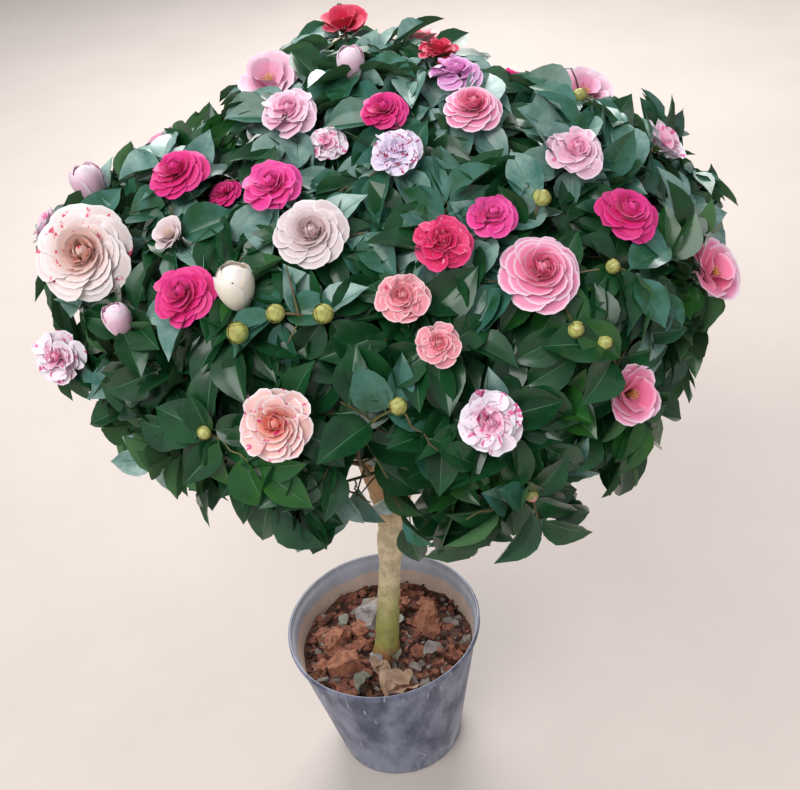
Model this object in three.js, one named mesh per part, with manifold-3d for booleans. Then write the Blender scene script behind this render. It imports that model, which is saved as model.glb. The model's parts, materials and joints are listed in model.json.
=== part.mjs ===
// A potted camellia grown as a standard: one clean stem under a round crown of leaves and blooms.
// Units are millimetres and +Z is up. The origin is the centre of the pot's flat underside, the
// plant's front faces -Y, and bearings turn from the front (0 degrees) towards +X (90 degrees).

import * as THREE from 'three';
import { mergeVertices } from 'three/addons/utils/BufferGeometryUtils.js';
import Module from 'manifold-3d';

const wasm = await Module();
wasm.setup();

const { Manifold } = wasm;
const { degToRad, lerp, radToDeg, smoothstep } = THREE.MathUtils;
const { Vector2, Vector3 } = THREE;
const UP = new Vector3(0, 0, 1);

// Clearance between neighbouring pieces
const GAP = 0.3;

// Turn from each of a row of evenly spread places to the next, in degrees
const GOLDEN_ANGLE = 137.508;

// Pot
const POT = {
  height: 255, baseRadius: 100, shoulderRadius: 145, rimRadius: 150, rimHeight: 12, lip: 1,
  wall: 3, floor: 4, bevel: 2, sides: 32,
};

// Potting mix, level around the trunk and rising and falling in ripples beyond
const MIX = {
  level: 200, bump: 5, ripple: 15, swell: 21, flatRadius: 66, blend: 30, edge: 3, rings: 4, sides: 20,
};

// Trunk
const TRUNK = {
  foot: new Vector3(-3, -17, MIX.level + GAP), fork: new Vector3(33, 0, 432), bow: 6, below: 10,
  head: 20, footRadius: 19, forkRadius: 16.5, flare: 12, flareHeight: 18, lobes: 5, lobeDepth: 0.12,
  headSwell: 5, swellFrom: 0.75, swellFull: 0.95, headRounding: 0.7, sides: 15, steps: 9,
};

// Crown, an ellipsoid of revolution about its own upright axis
const CROWN = { centre: new Vector3(78, 15, 885), radius: 410, halfHeight: 266 };

// Masses of foliage in two rings and a top: bearing and height in degrees, and how far their leaves
// reach as a share of the crown's ellipsoid. Their centres lie at a share of that reach, and what
// grows in a mass keeps a distance from the walls of its space.
const MASS_DEPTH = 0.62;
const INSET = 8;
const MASSES = [
  { name: 'lower_front', bearing: -2, height: -11, reach: 1.04 },
  { name: 'lower_front_right', bearing: 58, height: -8, reach: 1.05 },
  { name: 'lower_back_right', bearing: 118, height: -8, reach: 1 },
  { name: 'lower_back', bearing: 178, height: -10, reach: 1.02 },
  { name: 'lower_back_left', bearing: -122, height: -8, reach: 0.99 },
  { name: 'lower_front_left', bearing: -62, height: -8, reach: 1.03 },
  { name: 'upper_front', bearing: 2, height: 38, reach: 1 },
  { name: 'upper_right', bearing: 88, height: 28, reach: 1.12 },
  { name: 'upper_back', bearing: 178, height: 36, reach: 0.96 },
  { name: 'upper_left', bearing: -86, height: 36, reach: 1.04 },
  { name: 'top', bearing: -150, height: 84, reach: 1.05 },
];

// Boughs in the order they fork: the limb each one leaves, how far along it, and its radii at butt
// and tip. A bough is named after the mass it carries.
const HEART = new Vector3(62, 8, 672);
const BOUGH = {
  entry: 0.52, advance: 0.02, inside: 12, follow: 0.45, leave: 0.36, arrive: 0.28, sides: 6, steps: 5,
};
const BOUGHS = [
  { mass: 'top', parent: 'trunk', at: 0.93, butt: 12.5, tip: 7 },
  { mass: 'lower_front_left', parent: 'trunk', at: 0.9, butt: 12, tip: 7 },
  { mass: 'lower_front_right', parent: 'trunk', at: 0.93, butt: 12, tip: 7 },
  { mass: 'lower_back', parent: 'trunk', at: 0.91, butt: 11.5, tip: 7 },
  { mass: 'lower_front', parent: 'lower_front_left', at: 0.24, butt: 9, tip: 6.5 },
  { mass: 'lower_back_right', parent: 'lower_back', at: 0.28, butt: 9, tip: 6.5 },
  { mass: 'lower_back_left', parent: 'lower_back', at: 0.4, butt: 9, tip: 6.5 },
  { mass: 'upper_left', parent: 'lower_front_left', at: 0.5, butt: 8.5, tip: 6 },
  { mass: 'upper_front', parent: 'top', at: 0.42, butt: 8.5, tip: 6 },
  { mass: 'upper_right', parent: 'lower_front_right', at: 0.5, butt: 8.5, tip: 6 },
  { mass: 'upper_back', parent: 'top', at: 0.52, butt: 8, tip: 6 },
];

// Twigs and the leafy shoots that they reach for
const SEED = 1000;
const STEM = { length: 52, tipRadius: 4.6, sides: 6 };
const TWIG = {
  radii: [1.5, 3, 2.3], sides: 3, bow: 0.14, stray: 0.16, detour: 0.45, choices: 5, samples: 10,
  sink: 1, joints: [[0, 0.6], [1, 0.3]], stemJoints: [0.3, 0.5, 0.7, 0.9],
};
const SHOOT = { count: 92, depth: 66, lowest: -52, fromBloom: 16, fromBud: 38 };

// Leaves: the blade's shape, its spacing along a twig, and how it may turn and nod from there
const LEAF = {
  length: 130, spread: 0.1, width: 0.58, widest: 0.45, fold: 6, droop: 8, thickness: 1.8, root: 1.2,
  spacing: 13, closest: 0.27, first: 0.2, ways: 20, turn: 2.4, nod: 0.35, nodding: 2.1, hang: 0.12,
  lift: 0.4, past: 0.03, clear: 3, body: 0.8, checks: [0.25, 0.45, 0.7, 1],
};

// Where along a twig's last leg leaves stand, how many, and how far they lean out of the crown
const LEAFY = {
  tip: { share: 1, turn: 0, count: 3, lean: 0.35 },
  bend: { share: 0.1, turn: 1, count: 1, lean: 0.9 },
  bloom: { share: 0.8, turn: 0, count: 1, lean: 0.25 },
};

// Blooms: bearing and height on the crown, width, and the share of a turn from the crown's outside
// towards the light at the front
const LIGHT = new Vector3(0, -0.86, 0.51);
const BLOOMS = {
  rose: [
    [-67, 32, 113, 0.75], [-14, 48, 77, 0.6], [25, 33, 83, 0.35], [-18, 13, 77, 0.45],
    [11, 9, 69, 0.5], [-56, 54, 68, 0.3], [-26, 56, 67, 0.3], [-37, 34, 69, 0.3],
    [-70, 3, 71, 0.35], [-35, 71, 65, 0.3], [9, 71, 53, 0.5], [8, 61, 59, 0.5],
    [40, 65, 64, 0.3], [11, 43, 63, 0.5], [2, 35, 55, 0.4], [47, 34, 71, 0.2],
    [49, 48, 65, 0.3], [6, 26, 47, 0.4], [-49, 57, 41, 0], [-17, 69, 45, 0.3],
    [54, 72, 64, 0.1], [78, 77, 50, 0], [22, 45, 56, 0.2],
  ],
  cup: [
    [59, 11, 78, 0.1], [34, 1, 65, 0.2], [87, 49, 68, 0.1], [81, 31, 62, 0],
    [-90, 23, 53, 0], [-116, 72, 78, 0.2], [-177, 68, 61, 0], [-46, 44, 40, 0],
  ],
  bud: [[-99, 30, 48, 0], [-49, 26, 35, 0.2], [-27, 38, 46, 0.3], [-14, 86, 37, 0]],
};
const BLOOM = {
  sides: 10, scallop: 0.04, back: 0.22, aside: 5, sink: 3, neck: 30, crowd: 0.93, step: 5, steps: 10,
  behind: 0.3, ahead: 1.3, beside: 0.6,
};
const PROFILES = {
  rose: [[0, -0.36], [1, 0], [0.62, 0.3], [0, 0.36]],
  cup: [[0, -0.5], [1, 0.24], [0.5, 0.1], [0, 0.12]],
  bud: [[0, -0.9], [1, -0.2], [0.72, 0.75], [0, 1.15]],
};

// Blooms on the side away from the light, which follow a rule
const BACK = { count: 60, facing: -0.12, lowest: -28, highest: 66, widths: [68, 76, 60, 72], clear: 84 };

// Closed buds: bearing, height and width
const BUDS = [
  [-11, 34, 19], [-1, 16, 17], [27, 21, 17], [31, 16, 16], [16, -13, 16], [-31, 9, 14],
  [-25, 30, 21], [-19, 34, 18], [38, 28, 15], [34, 45, 18], [-44, 55, 18], [74, 53, 15],
];
const BUD_LENGTH = 1.4;

// Seeded random numbers from 0 to 1
function seeded(seed) {
  let state = seed;
  return () => {
    state = (Math.imul(state, 1664525) + 1013904223) >>> 0;
    return state / 4294967296;
  };
}

// Unit vector at a bearing and a height in degrees
function direction(bearing, height) {
  const b = degToRad(bearing);
  const h = degToRad(height);
  return new Vector3(Math.sin(b) * Math.cos(h), -Math.cos(b) * Math.cos(h), Math.sin(h));
}

// Point of the crown's ellipsoid, scaled about its centre, in a given direction
function onCrown(toward, share = 1) {
  const { centre, radius, halfHeight } = CROWN;
  const offset = toward.clone().multiply(new Vector3(radius, radius, halfHeight));
  return centre.clone().addScaledVector(offset, share);
}

// Direction square to the crown's ellipsoid at a point
function outward(point) {
  const { centre, radius, halfHeight } = CROWN;
  const from = point.clone().sub(centre);
  return from.divide(new Vector3(radius ** 2, radius ** 2, halfHeight ** 2)).normalize();
}

// How far out a point lies, as a share of the way from the crown's centre to its surface
function shareOfCrown(point) {
  const { centre, radius, halfHeight } = CROWN;
  return point.clone().sub(centre).divide(new Vector3(radius, radius, halfHeight)).length();
}

// Two unit vectors that stand square to a direction and to each other
function across(axis) {
  const guide = Math.abs(axis.z) < 0.9 ? UP : new Vector3(1, 0, 0);
  const side = new Vector3().crossVectors(guide, axis).normalize();
  return [side, new Vector3().crossVectors(axis, side)];
}

// Closed mesh to solid: shared vertices are merged and flattened triangles dropped
function solid(geometry) {
  geometry.deleteAttribute('normal');
  geometry.deleteAttribute('uv');
  const merged = mergeVertices(geometry);
  const { array } = merged.index;
  const triVerts = [];
  for (let i = 0; i < array.length; i += 3) {
    const [a, b, c] = array.slice(i, i + 3);
    if (a !== b && b !== c && c !== a) triVerts.push(a, b, c);
  }
  const vertProperties = new Float32Array(merged.attributes.position.array);
  return new Manifold(
    new wasm.Mesh({ numProp: 3, vertProperties, triVerts: new Uint32Array(triVerts) }),
  );
}

// Largest body of a solid, without any loose scraps
function largest(body) {
  return body.decompose().reduce((best, next) => (next.volume() > best.volume() ? next : best));
}

function namedMesh(name, body, material) {
  const { vertProperties, triVerts } = body.getMesh();
  const geometry = new THREE.BufferGeometry();
  geometry.setAttribute('position', new THREE.BufferAttribute(vertProperties, 3));
  geometry.setIndex(new THREE.BufferAttribute(triVerts, 1));
  geometry.computeVertexNormals();
  const mesh = new THREE.Mesh(geometry, material);
  mesh.name = name;
  return mesh;
}

// Unit tangent at each point of a row
function tangents(points) {
  return points.map((_, i) => {
    const before = points[Math.max(i - 1, 0)];
    const after = points[Math.min(i + 1, points.length - 1)];
    return after.clone().sub(before).normalize();
  });
}

// A limb is a cylinder bent along a row of points, with a radius for each. The outline can vary the
// radius with the ring and the angle around it.
function limbGeometry({ points, radii, sides, outline = () => 1 }) {
  const steps = points.length - 1;
  const geometry = new THREE.CylinderGeometry(1, 1, steps, sides, steps);
  const along = tangents(points);
  const side = [across(along[0])[0]];
  for (let i = 1; i <= steps; i++) {
    const slip = side[i - 1].dot(along[i]);
    side.push(side[i - 1].clone().addScaledVector(along[i], -slip).normalize());
  }
  const position = geometry.attributes.position;
  for (let i = 0; i < position.count; i++) {
    const [x, y, z] = [position.getX(i), position.getY(i), position.getZ(i)];
    const ring = Math.round(y + steps / 2);
    const radius = radii[ring] * outline(ring, Math.atan2(z, x));
    const lift = new Vector3().crossVectors(side[ring], along[ring]);
    const place = points[ring].clone().addScaledVector(side[ring], radius * x);
    place.addScaledVector(lift, radius * z);
    position.setXYZ(i, place.x, place.y, place.z);
  }
  return geometry;
}

// The limb's solid, grown by a clearance all round and past its tip
function limbSolid(limb, clearance = 0) {
  const points = limb.points.map((point) => point.clone());
  points.at(-1).addScaledVector(tangents(points).at(-1), clearance);
  const radii = limb.radii.map((radius) => radius + clearance);
  return solid(limbGeometry({ ...limb, points, radii }));
}

// Place and direction at a share of the way along a limb
function along(limb, share) {
  const at = share * (limb.points.length - 1);
  const from = Math.min(Math.floor(at), limb.points.length - 2);
  const [start, end] = [limb.points[from], limb.points[from + 1]];
  const toward = end.clone().sub(start).normalize();
  return { point: start.clone().lerp(end, at - from), toward };
}

function revolved(profile, sides) {
  return new THREE.LatheGeometry(profile.map(([x, y]) => new Vector2(x, y)), sides);
}

// Turns a shape made upright about +Y, as lathes are, to stand along an axis at a place
function standAlong(geometry, axis, place) {
  const turn = new THREE.Quaternion().setFromUnitVectors(new Vector3(0, 1, 0), axis);
  return geometry.applyQuaternion(turn).translate(...place.toArray());
}

function potSolid() {
  const { height, baseRadius, shoulderRadius, rimRadius, rimHeight, lip, wall, floor, bevel } = POT;
  const shoulder = height - rimHeight;
  const profile = [
    [0, 0], [baseRadius - bevel, 0], [baseRadius, bevel],
    [shoulderRadius, shoulder], [rimRadius - lip, shoulder + bevel], [rimRadius, height - rimHeight / 2],
    [rimRadius - lip, height], [rimRadius - wall - lip, height],
    [shoulderRadius - wall, shoulder], [baseRadius - wall, floor], [0, floor],
  ];
  return solid(standAlong(revolved(profile, POT.sides), UP, new Vector3()));
}

// Radius of the pot's inner wall at a height
function potInside(z) {
  const share = (z - POT.floor) / (POT.height - POT.rimHeight - POT.floor);
  return lerp(POT.baseRadius, POT.shoulderRadius, share) - POT.wall;
}

// Uneven surface of chips, level where the trunk stands
function mixBump(x, y) {
  const { bump, ripple, swell, flatRadius, blend } = MIX;
  const fromTrunk = Math.hypot(x - TRUNK.foot.x, y - TRUNK.foot.y);
  const wave = Math.sin(x / ripple) * Math.cos(y / ripple) + Math.sin((x + 2 * y) / swell) / 2;
  return bump * wave * smoothstep(fromTrunk, flatRadius, flatRadius + blend);
}

// The mix keeps inside the pot's flat sides, which come closer to the axis than their corners do
function mixSolid() {
  const { level, rings, sides, edge } = MIX;
  const narrowing = Math.cos(Math.PI / POT.sides);
  const slack = GAP / narrowing + potInside(level) * (1 - narrowing);
  const bottom = POT.floor + GAP;
  const rim = potInside(level) - GAP - slack;
  const profile = [[0, bottom], [potInside(bottom) - slack, bottom], [rim, level - edge]];
  for (let ring = rings; ring > 0; ring--) profile.push([(rim - edge) * (ring / rings), level]);
  profile.push([0, level]);
  const geometry = standAlong(revolved(profile, sides), UP, new Vector3());
  const position = geometry.attributes.position;
  for (let i = 0; i < position.count; i++) {
    const [x, y, z] = [position.getX(i), position.getY(i), position.getZ(i)];
    if (z > level - edge / 2) position.setZ(i, z + mixBump(x, y));
  }
  return solid(geometry);
}

function trunkLimb() {
  const { foot, fork, bow, below, head, steps, sides, flareHeight, lobes, lobeDepth } = TRUNK;
  const rise = fork.clone().sub(foot).normalize();
  const [side] = across(rise);
  const start = foot.clone().addScaledVector(rise, -below);
  const end = fork.clone().addScaledVector(rise, head);
  const bent = (share, by) => start.clone().lerp(end, share).addScaledVector(side, by);
  const curve = new THREE.CubicBezierCurve3(start, bent(1 / 3, bow), bent(2 / 3, -bow), end);
  const points = curve.getPoints(steps);
  const height = (point) => Math.max(point.z - foot.z, 0);
  const radii = points.map((point, i) => {
    const share = height(point) / (fork.z - foot.z);
    const shaft = lerp(TRUNK.footRadius, TRUNK.forkRadius, Math.min(share, 1));
    const flare = TRUNK.flare * Math.exp(-height(point) / flareHeight);
    const swell = TRUNK.headSwell * smoothstep(share, TRUNK.swellFrom, TRUNK.swellFull);
    return (shaft + flare + swell) * (i === steps ? TRUNK.headRounding : 1);
  });
  const outline = (ring, angle) => {
    const depth = lobeDepth * Math.exp(-height(points[ring]) / (2 * flareHeight));
    return 1 + depth * Math.cos(lobes * angle);
  };
  return { name: 'trunk', points, radii, sides, outline };
}

// The trunk's solid, cut flat at the level of the potting mix
function trunkSolid(limb, clearance) {
  const { foot, footRadius } = TRUNK;
  const size = 10 * footRadius;
  const below = new THREE.BoxGeometry(size, size, size).translate(foot.x, foot.y, foot.z - size / 2);
  return limbSolid(limb, clearance).subtract(solid(below));
}

// Where the line from the crown's heart to a mass's centre enters the mass's space
function entryOf(mass) {
  let share = BOUGH.entry;
  const point = () => HEART.clone().lerp(mass.centre, share);
  while (!insideSpace(mass, point(), BOUGH.inside)) share += BOUGH.advance;
  return point();
}

// Every limb, with the trunk first and each bough after the limb it leaves
function limbSystem(masses) {
  const limbs = [trunkLimb()];
  for (const { mass: name, parent: parentName, at, butt, tip } of BOUGHS) {
    const mass = masses.find((one) => one.name === name);
    const parent = limbs.find((limb) => limb.name === parentName);
    const { point: start, toward } = along(parent, at);
    const end = entryOf(mass);
    const reach = start.distanceTo(end);
    const straight = end.clone().sub(start).normalize();
    const leaving = straight.clone().lerp(toward, BOUGH.follow).normalize();
    const arriving = mass.centre.clone().sub(end).normalize().add(straight).normalize();
    const curve = new THREE.CubicBezierCurve3(
      start,
      start.clone().addScaledVector(leaving, reach * BOUGH.leave),
      end.clone().addScaledVector(arriving, -reach * BOUGH.arrive),
      end,
    );
    const points = curve.getPoints(BOUGH.steps);
    const radii = points.map((_, i) => lerp(butt, tip, i / BOUGH.steps));
    limbs.push({ name, points, radii, sides: BOUGH.sides });
  }
  return limbs;
}

// The masses' centres, and for each mass the planes halfway to its neighbours, which bound its space
function massSpaces() {
  const masses = MASSES.map((mass, index) => ({
    ...mass,
    index,
    centre: onCrown(direction(mass.bearing, mass.height), MASS_DEPTH * mass.reach),
  }));
  for (const mass of masses) {
    const others = masses.filter((other) => other !== mass);
    mass.walls = others.map((other) => {
      const normal = other.centre.clone().sub(mass.centre);
      const middle = mass.centre.clone().lerp(other.centre, 0.5);
      return new THREE.Plane().setFromNormalAndCoplanarPoint(normal.normalize(), middle);
    });
  }
  return masses;
}

function nearestMass(masses, point) {
  const away = (mass) => mass.centre.distanceTo(point);
  return masses.reduce((best, mass) => (away(mass) < away(best) ? mass : best));
}

function insideSpace(mass, point, margin) {
  return mass.walls.every((wall) => wall.distanceToPoint(point) < -margin);
}

// Moves a point the least way that keeps it inside the mass's space
function keptInside(mass, point, margin) {
  const kept = point.clone();
  for (const wall of mass.walls) {
    const over = wall.distanceToPoint(kept) + margin;
    if (over > 0) kept.addScaledVector(wall.normal, -over);
  }
  return kept;
}

// Directions spread evenly over the crown's surface, from its underside to its top
function evenDirections(count) {
  const { radius, halfHeight } = CROWN;
  const area = (t) => halfHeight * t + ((radius - halfHeight) * t ** 3) / 3;
  const spread = [];
  for (let i = 0; i < count; i++) {
    const wanted = area(1) * ((2 * i + 1) / count - 1);
    let [low, high] = [-1, 1];
    while (high - low > 1e-7) {
      const middle = (low + high) / 2;
      if (area(middle) < wanted) low = middle;
      else high = middle;
    }
    spread.push({ bearing: ((i * GOLDEN_ANGLE) % 360) - 180, height: radToDeg(Math.asin(low)) });
  }
  return spread;
}

// Every bloom on the crown. One that would crowd an earlier bloom sits deeper.
function placeBlooms(masses) {
  const rows = Object.entries(BLOOMS).flatMap(([form, list]) => list.map((row) => [form, ...row]));
  const blooms = [];
  const add = (form, bearing, height, width, turn) => {
    const centre = onCrown(direction(bearing, height));
    const normal = outward(centre);
    const radius = width / 2;
    const crowded = () => blooms.some(
      (other) => other.centre.distanceTo(centre) < BLOOM.crowd * (other.radius + radius),
    );
    for (let step = 0; step < BLOOM.steps && crowded(); step++) {
      centre.addScaledVector(normal, -BLOOM.step);
    }
    const mass = nearestMass(masses, centre);
    const facing = normal.clone().lerp(LIGHT, turn).normalize();
    blooms.push({ form, radius, facing, mass, centre: keptInside(mass, centre, INSET) });
  };
  for (const row of rows) add(...row);
  const back = evenDirections(BACK.count).filter(({ bearing, height }) => {
    const toward = direction(bearing, height);
    const place = onCrown(toward);
    const free = blooms.every((bloom) => bloom.centre.distanceTo(place) > BACK.clear);
    return free && toward.dot(LIGHT) < BACK.facing && height > BACK.lowest && height < BACK.highest;
  });
  back.forEach(({ bearing, height }, i) => {
    add(i % 3 ? 'rose' : 'cup', bearing, height, BACK.widths[i % BACK.widths.length], 0);
  });
  return blooms;
}

function placeBuds(masses) {
  return BUDS.map(([bearing, height, width]) => {
    const centre = onCrown(direction(bearing, height));
    const mass = nearestMass(masses, centre);
    return { centre: keptInside(mass, centre, width), radius: width / 2, mass, facing: outward(centre) };
  });
}

// Leafy shoots even over the crown, clear of its open underside and of blooms and buds
function placeShoots(masses, blooms, buds) {
  const shoots = [];
  for (const { bearing, height } of evenDirections(SHOOT.count)) {
    const toward = direction(bearing, height);
    const { reach } = nearestMass(masses, onCrown(toward));
    const surface = onCrown(toward, reach);
    const tip = surface.addScaledVector(outward(surface), -SHOOT.depth);
    const near = (list, clear) => list.some(
      ({ centre, radius }) => centre.distanceTo(tip) < radius + clear,
    );
    if (height < SHOOT.lowest || near(blooms, SHOOT.fromBloom) || near(buds, SHOOT.fromBud)) continue;
    const mass = nearestMass(masses, tip);
    shoots.push({ tip: keptInside(mass, tip, INSET), mass });
  }
  return shoots;
}

// Distance from a point to a limb's surface, taken from its centre line
function fromLimb(limb, point) {
  const { points, radii } = limb;
  let nearest = Infinity;
  for (let i = 0; i + 1 < points.length; i++) {
    const line = new THREE.Line3(points[i], points[i + 1]);
    const share = line.closestPointToPointParameter(point, true);
    const radius = lerp(radii[i], radii[i + 1], share);
    nearest = Math.min(nearest, line.at(share, new Vector3()).distanceTo(point) - radius);
  }
  return nearest;
}

// True where a round piece at a point clears every limb
function clearOfLimbs(limbs, point, radius) {
  return limbs.every((limb) => fromLimb(limb, point) > radius);
}

// True where a piece at a point clears a bloom: its own mass's leaves may pass behind a bloom
function clearOfBloom(bloom, mass, point, radius) {
  const from = point.clone().sub(bloom.centre);
  if (bloom.mass !== mass) return from.length() > bloom.radius + radius;
  const ahead = from.dot(bloom.facing);
  const beside = from.addScaledVector(bloom.facing, -ahead).length();
  return ahead < -BLOOM.behind * bloom.radius
    || ahead > BLOOM.ahead * bloom.radius
    || beside > bloom.radius + BLOOM.beside * radius;
}

// A leaf is a folded blade of eight faces: its root is a short upright edge sunk in the twig, and the
// midrib sags between the raised sides
function leafCorners({ root, axis, face, length }) {
  const side = new Vector3().crossVectors(face, axis);
  const corner = (share, aside, raised) => root.clone()
    .addScaledVector(axis, share * length)
    .addScaledVector(side, aside)
    .addScaledVector(face, raised);
  const half = (LEAF.width * length) / 2;
  const sag = -LEAF.droop * LEAF.widest;
  return {
    rootTop: corner(0, 0, LEAF.root),
    rootUnder: corner(0, 0, -LEAF.root),
    left: corner(LEAF.widest, half, LEAF.fold),
    right: corner(LEAF.widest, -half, LEAF.fold),
    rib: corner(LEAF.widest, 0, sag - LEAF.root / 2 + LEAF.thickness),
    tip: corner(1, 0, -LEAF.droop),
  };
}

// The octahedron's six corners become the leaf's
function leafSolid(leaf) {
  const corners = leafCorners(leaf);
  const geometry = new THREE.OctahedronGeometry(1);
  const position = geometry.attributes.position;
  const named = (x, y, z) => {
    if (Math.abs(x) > 0.5) return x > 0 ? corners.rootTop : corners.tip;
    if (Math.abs(y) > 0.5) return y > 0 ? corners.rib : corners.rootUnder;
    return z > 0 ? corners.left : corners.right;
  };
  for (let i = 0; i < position.count; i++) {
    const corner = named(position.getX(i), position.getY(i), position.getZ(i));
    position.setXYZ(i, corner.x, corner.y, corner.z);
  }
  return solid(geometry);
}

// The edges, halves and corners of a leaf's blade
function blade(leaf) {
  const corners = leafCorners(leaf);
  const { rootTop, left, right, tip } = corners;
  return {
    corners: Object.values(corners),
    edges: [[rootTop, left], [left, tip], [tip, right], [right, rootTop], [rootTop, tip]],
    halves: [[rootTop, left, tip], [rootTop, tip, right]],
  };
}

// True where a straight edge passes through a triangle
function pierces([start, end], [a, b, c]) {
  const toward = end.clone().sub(start);
  const ray = new THREE.Ray(start, toward.clone().normalize());
  const hit = ray.intersectTriangle(a, b, c, false, new Vector3());
  return hit !== null && hit.distanceTo(start) < toward.length();
}

// True where two blades pass through each other
function crosses(one, other) {
  return one.edges.some((edge) => other.halves.some((half) => pierces(edge, half)))
    || other.edges.some((edge) => one.halves.some((half) => pierces(edge, half)));
}

// Half the leaf's width at a share of its length
function leafHalfWidth(share, length) {
  const taper = Math.min(share / LEAF.widest, (1 - share) / (1 - LEAF.widest));
  return (LEAF.width * length * taper) / 2;
}

// True where a leaf keeps to its mass's space, clear of limbs, blooms, twigs and the leaves so far
function leafFits(leaf, growth, limbs, blooms) {
  const { mass, twigs, leaves } = growth;
  const own = blade(leaf);
  if (shareOfCrown(own.corners.at(-1)) > mass.reach + LEAF.past) return false;
  if (!own.corners.every((corner) => insideSpace(mass, corner, GAP))) return false;
  const clear = LEAF.checks.every((share) => {
    const point = leaf.root.clone().addScaledVector(leaf.axis, share * leaf.length);
    const radius = leafHalfWidth(share, leaf.length) * LEAF.body + LEAF.clear;
    const free = blooms.every((bloom) => clearOfBloom(bloom, mass, point, radius));
    return free && clearOfLimbs(limbs, point, radius);
  });
  const strokes = twigs.flatMap(({ points }) => points.slice(1).map((end, i) => [points[i], end]));
  return clear
    && !strokes.some((stroke) => own.halves.some((half) => pierces(stroke, half)))
    && !leaves.some((other) => crosses(own, blade(other)));
}

// Middle of a leaf's blade
function leafMiddle({ root, axis, length }) {
  return root.clone().addScaledVector(axis, length / 2);
}

// Grows leaves back from a node of a twig. Each tries every way round the twig, and of the ways that
// fit it takes the one that lies farthest from the leaves and blooms around it.
function addLeaves({ point, toward, spacing, count, lean, spin }, growth, limbs, blooms, covered) {
  const out = outward(point);
  const [side, other] = across(out);
  for (let i = 0; i < count; i++) {
    const root = point.clone().addScaledVector(toward, -(i + LEAF.first) * spacing);
    const length = LEAF.length * (1 + LEAF.spread * Math.sin(3 * spin + 2 * i));
    const ways = [];
    for (let way = 0; way < LEAF.ways; way++) {
      const angle = spin + way * LEAF.turn;
      const rise = lean + LEAF.nod * Math.sin(way * LEAF.nodding);
      const axis = side.clone().multiplyScalar(Math.cos(angle)).addScaledVector(other, Math.sin(angle));
      axis.addScaledVector(out, rise).addScaledVector(UP, -LEAF.hang).normalize();
      const face = out.clone().addScaledVector(UP, LEAF.lift);
      face.addScaledVector(axis, -face.dot(axis)).normalize();
      const leaf = { root, axis, face, length };
      if (leafFits(leaf, growth, limbs, blooms)) ways.push(leaf);
    }
    if (!ways.length) continue;
    const room = (leaf) => Math.min(...covered.map((place) => place.distanceTo(leafMiddle(leaf))));
    const best = ways.reduce((one, next) => (room(next) > room(one) ? next : one));
    growth.leaves.push(best);
    covered.push(leafMiddle(best));
  }
}

// True where a twig keeps to its mass's space, clear of limbs and of other blooms
function twigFits(points, mass, limbs, blooms) {
  if (!points.every((point) => insideSpace(mass, point, TWIG.radii[1] + GAP))) return false;
  return points.slice(1).every((end, i) => {
    for (let step = 1; step <= TWIG.samples; step++) {
      const point = points[i].clone().lerp(end, step / TWIG.samples);
      const free = blooms.every((bloom) => clearOfBloom(bloom, mass, point, TWIG.radii[1]));
      if (!free || !clearOfLimbs(limbs, point, TWIG.radii[1] + 2 * GAP)) return false;
    }
    return true;
  });
}

// The short stem that a mass grows from, in line with its bough's tip and clear of it
function massStem(mass, limbs) {
  const bough = limbs.find((limb) => limb.name === mass.name);
  const toward = tangents(bough.points).at(-1);
  const start = bough.points.at(-1).clone().addScaledVector(toward, GAP);
  const end = start.clone().addScaledVector(toward, STEM.length);
  const shares = [0, 0.5, 1];
  return {
    toward,
    points: shares.map((share) => start.clone().lerp(end, share)),
    radii: shares.map((share) => lerp(bough.radii.at(-1), STEM.tipRadius, share)),
    sides: STEM.sides,
  };
}

// What the mass's twigs reach for, nearest first: the back of each bloom, each bud and leafy shoot
function aimsOf(mass, stem, blooms, buds, shoots) {
  const own = (list) => list.filter((one) => one.mass === mass);
  const behind = (one, depth) => one.centre.clone().addScaledVector(one.facing, -depth);
  const aims = [
    ...own(blooms).map((bloom) => {
      const back = bloom.radius * BLOOM.back;
      const [side] = across(bloom.facing);
      const tip = behind(bloom, back - BLOOM.sink).addScaledVector(side, BLOOM.aside);
      return { bloom, tip, bend: behind(bloom, back + BLOOM.neck) };
    }),
    ...own(buds).map((bud) => ({ bud, tip: bud.centre })),
    ...own(shoots).map(({ tip }) => ({ tip })),
  ];
  const away = ({ tip }) => tip.distanceTo(stem.points.at(-1));
  return aims.sort((a, b) => away(a) - away(b));
}

// Places along a twig where one more twig may leave it
function jointsOf({ points }, way) {
  return TWIG.joints.map(([leg, share]) => {
    const point = points[leg].clone().lerp(points[leg + 1], share);
    const toward = points[leg + 1].clone().sub(points[leg]).normalize();
    return { point, toward, way: way + points[0].distanceTo(point) };
  });
}

// A bent twig from a joint to an aim
function twigTo({ tip, bend }, joint, mass, stray) {
  const reach = joint.point.distanceTo(tip);
  const sides = across(tip.clone().sub(joint.point).normalize());
  const middle = joint.point.clone().lerp(tip, 0.5).addScaledVector(joint.toward, reach * TWIG.bow);
  sides.forEach((side, i) => middle.addScaledVector(side, reach * TWIG.stray * stray[i]));
  const start = joint.point.clone().addScaledVector(joint.toward, -TWIG.sink);
  return {
    points: [start, keptInside(mass, bend ?? middle, INSET), tip],
    radii: TWIG.radii,
    sides: TWIG.sides,
  };
}

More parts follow.
